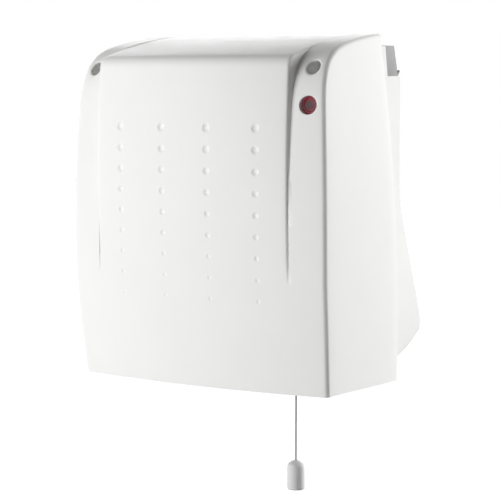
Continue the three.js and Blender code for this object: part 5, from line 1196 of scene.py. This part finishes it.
class HEATER_OT_casing(bpy.types.Operator):
    """Finish the back casing, its grilles, the cable grommet and the cord's eyelet"""

    bl_idname = "heater.casing"
    bl_label = "Casing and grilles"

    def execute(self, context):
        look = finishes()
        for node, name, slot, finish, edge in (
            ("back_casing", "casing_shell", "casing_plastic", "casing", 0.0004),
            ("inlet_grille", "inlet_louvre", "grey_plastic", "grille", 0.0003),
            ("outlet_grille", "outlet_louvre", "casing_plastic", "casing", 0.0003),
            ("cable_grommet", "entry_grommet", "rubber", "rubber", 0.0003),
            ("cord_eyelet", "floor_eyelet", "white_plastic", "cover", 0.0002),
        ):
            deliver(refined(node, name, edge), "casing", slot, look[finish], node)
        return {"FINISHED"}


class HEATER_OT_hanging(bpy.types.Operator):
    """Finish the hanger rail and the wall bracket"""

    bl_idname = "heater.hanging"
    bl_label = "Rail and bracket"

    def execute(self, context):
        look = finishes()
        deliver(self.lips(context), "casing", "casing_plastic", look["casing"])
        rail = refined("hanger_rail", "folded_rail", 0.0004)
        deliver(rail, "casing", "painted_steel", look["rail"], "hanger_rail")
        bracket = refined("wall_bracket", "wall_plate", 0.0004)
        deliver(bracket, "casing", "zinc_steel", look["zinc"], "wall_bracket")
        return {"FINISHED"}

    def lips(self, context):
        """White lips of the casing, which cover the front of each end of the rail."""
        shape = CoverShape(context.scene.heater_cover)
        low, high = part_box("hanger_rail")
        behind, spread, thick = 0.008, 0.08, 0.001
        clear, ahead, depth = 0.0003, 0.001, 0.01
        below, under_top = 0.002, 0.0006
        pieces = []
        for side in (-1, 1):
            inner = side * (high.x + clear)
            x0, x1 = sorted((inner, inner + side * thick))
            lip = block(
                x0, x1, low.y + ahead, low.y + depth, low.z - below, high.z - under_top
            )
            for vertex in lip.data.vertices:
                if vertex.co.y > low.y + depth / 2:
                    fall = high.z - vertex.co.z
                    vertex.co.y = shape.rear_y(vertex.co.z - BOTTOM) + behind + spread * fall
            pieces.append(lip)
        lips = named(joined(pieces), "casing_lips")
        apply_modifier(lips, "BEVEL", width=0.0003, segments=2, limit_method="ANGLE")
        return smoothed(lips)


class HEATER_OT_works(bpy.types.Operator):
    """Dress the fan, the motor, the element, the switch and the wiring"""

    bl_idname = "heater.works"
    bl_label = "Works inside"

    def execute(self, context):
        look = finishes()
        for finish, nodes in {
            "impeller": "impeller",
            "shaft": "stub_axle motor_shaft lever_pin lever_spring",
            "core": "rotor motor_core",
            "bronze": "axle_bush",
            "rubber": "bush_mount",
            "coil": "motor_coil",
            "alloy": "motor_bracket_inner motor_bracket_outer",
            "zinc": "fan_plate_left fan_plate_right scroll_guide cutoff_guide",
            "mica": "element_card_front element_card_rear",
            "ribbon": "element_ribbon_1 element_ribbon_2 element_ribbon_3",
            "switch": "thermal_cutout terminal_block pull_switch_body",
            "lever": "switch_lever",
            "brown": "wire_live wire_motor",
            "blue": "wire_neutral",
            "green": "wire_earth",
            "black": "wire_cutout wire_neon",
        }.items():
            dress(look[finish], *nodes.split())
        dress(look["screw"], *[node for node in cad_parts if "_screw" in node])
        return {"FINISHED"}


class HEATER_PT_panel(bpy.types.Panel):
    """Buttons for each step, and the settings"""

    bl_idname = "HEATER_PT_panel"
    bl_label = "Wall Fan Heater"
    bl_space_type = "VIEW_3D"
    bl_region_type = "UI"
    bl_category = "Heater"

    def draw(self, context):
        for step in STEPS:
            self.layout.operator(step.bl_idname)
        for group in GROUPS:
            box = self.layout.box()
            settings = getattr(context.scene, group)
            for key in settings.__annotations__:
                box.prop(settings, key)


STEPS = (
    HEATER_OT_stage,
    HEATER_OT_pull_cord,
    HEATER_OT_front_cover,
    HEATER_OT_neon,
    HEATER_OT_casing,
    HEATER_OT_hanging,
    HEATER_OT_works,
)

GROUPS = {
    "heater_cover": HeaterCoverSizes,
    "heater_details": HeaterCoverDetails,
    "heater_cord": HeaterCordSizes,
    "heater_finishes": HeaterFinishes,
    "heater_lights": HeaterLightLevels,
}


def register():
    for kind in (*GROUPS.values(), *STEPS, HEATER_PT_panel):
        bpy.utils.register_class(kind)
    for name, kind in GROUPS.items():
        setattr(bpy.types.Scene, name, PointerProperty(type=kind))


def unregister():
    for name in GROUPS:
        delattr(bpy.types.Scene, name)
    for kind in reversed((*GROUPS.values(), *STEPS, HEATER_PT_panel)):
        bpy.utils.unregister_class(kind)


def main():
    register()
    for step in STEPS:
        category, name = step.bl_idname.split(".")
        getattr(getattr(bpy.ops, category), name)()
    nothing_selected()


if __name__ == "__main__":
    main()
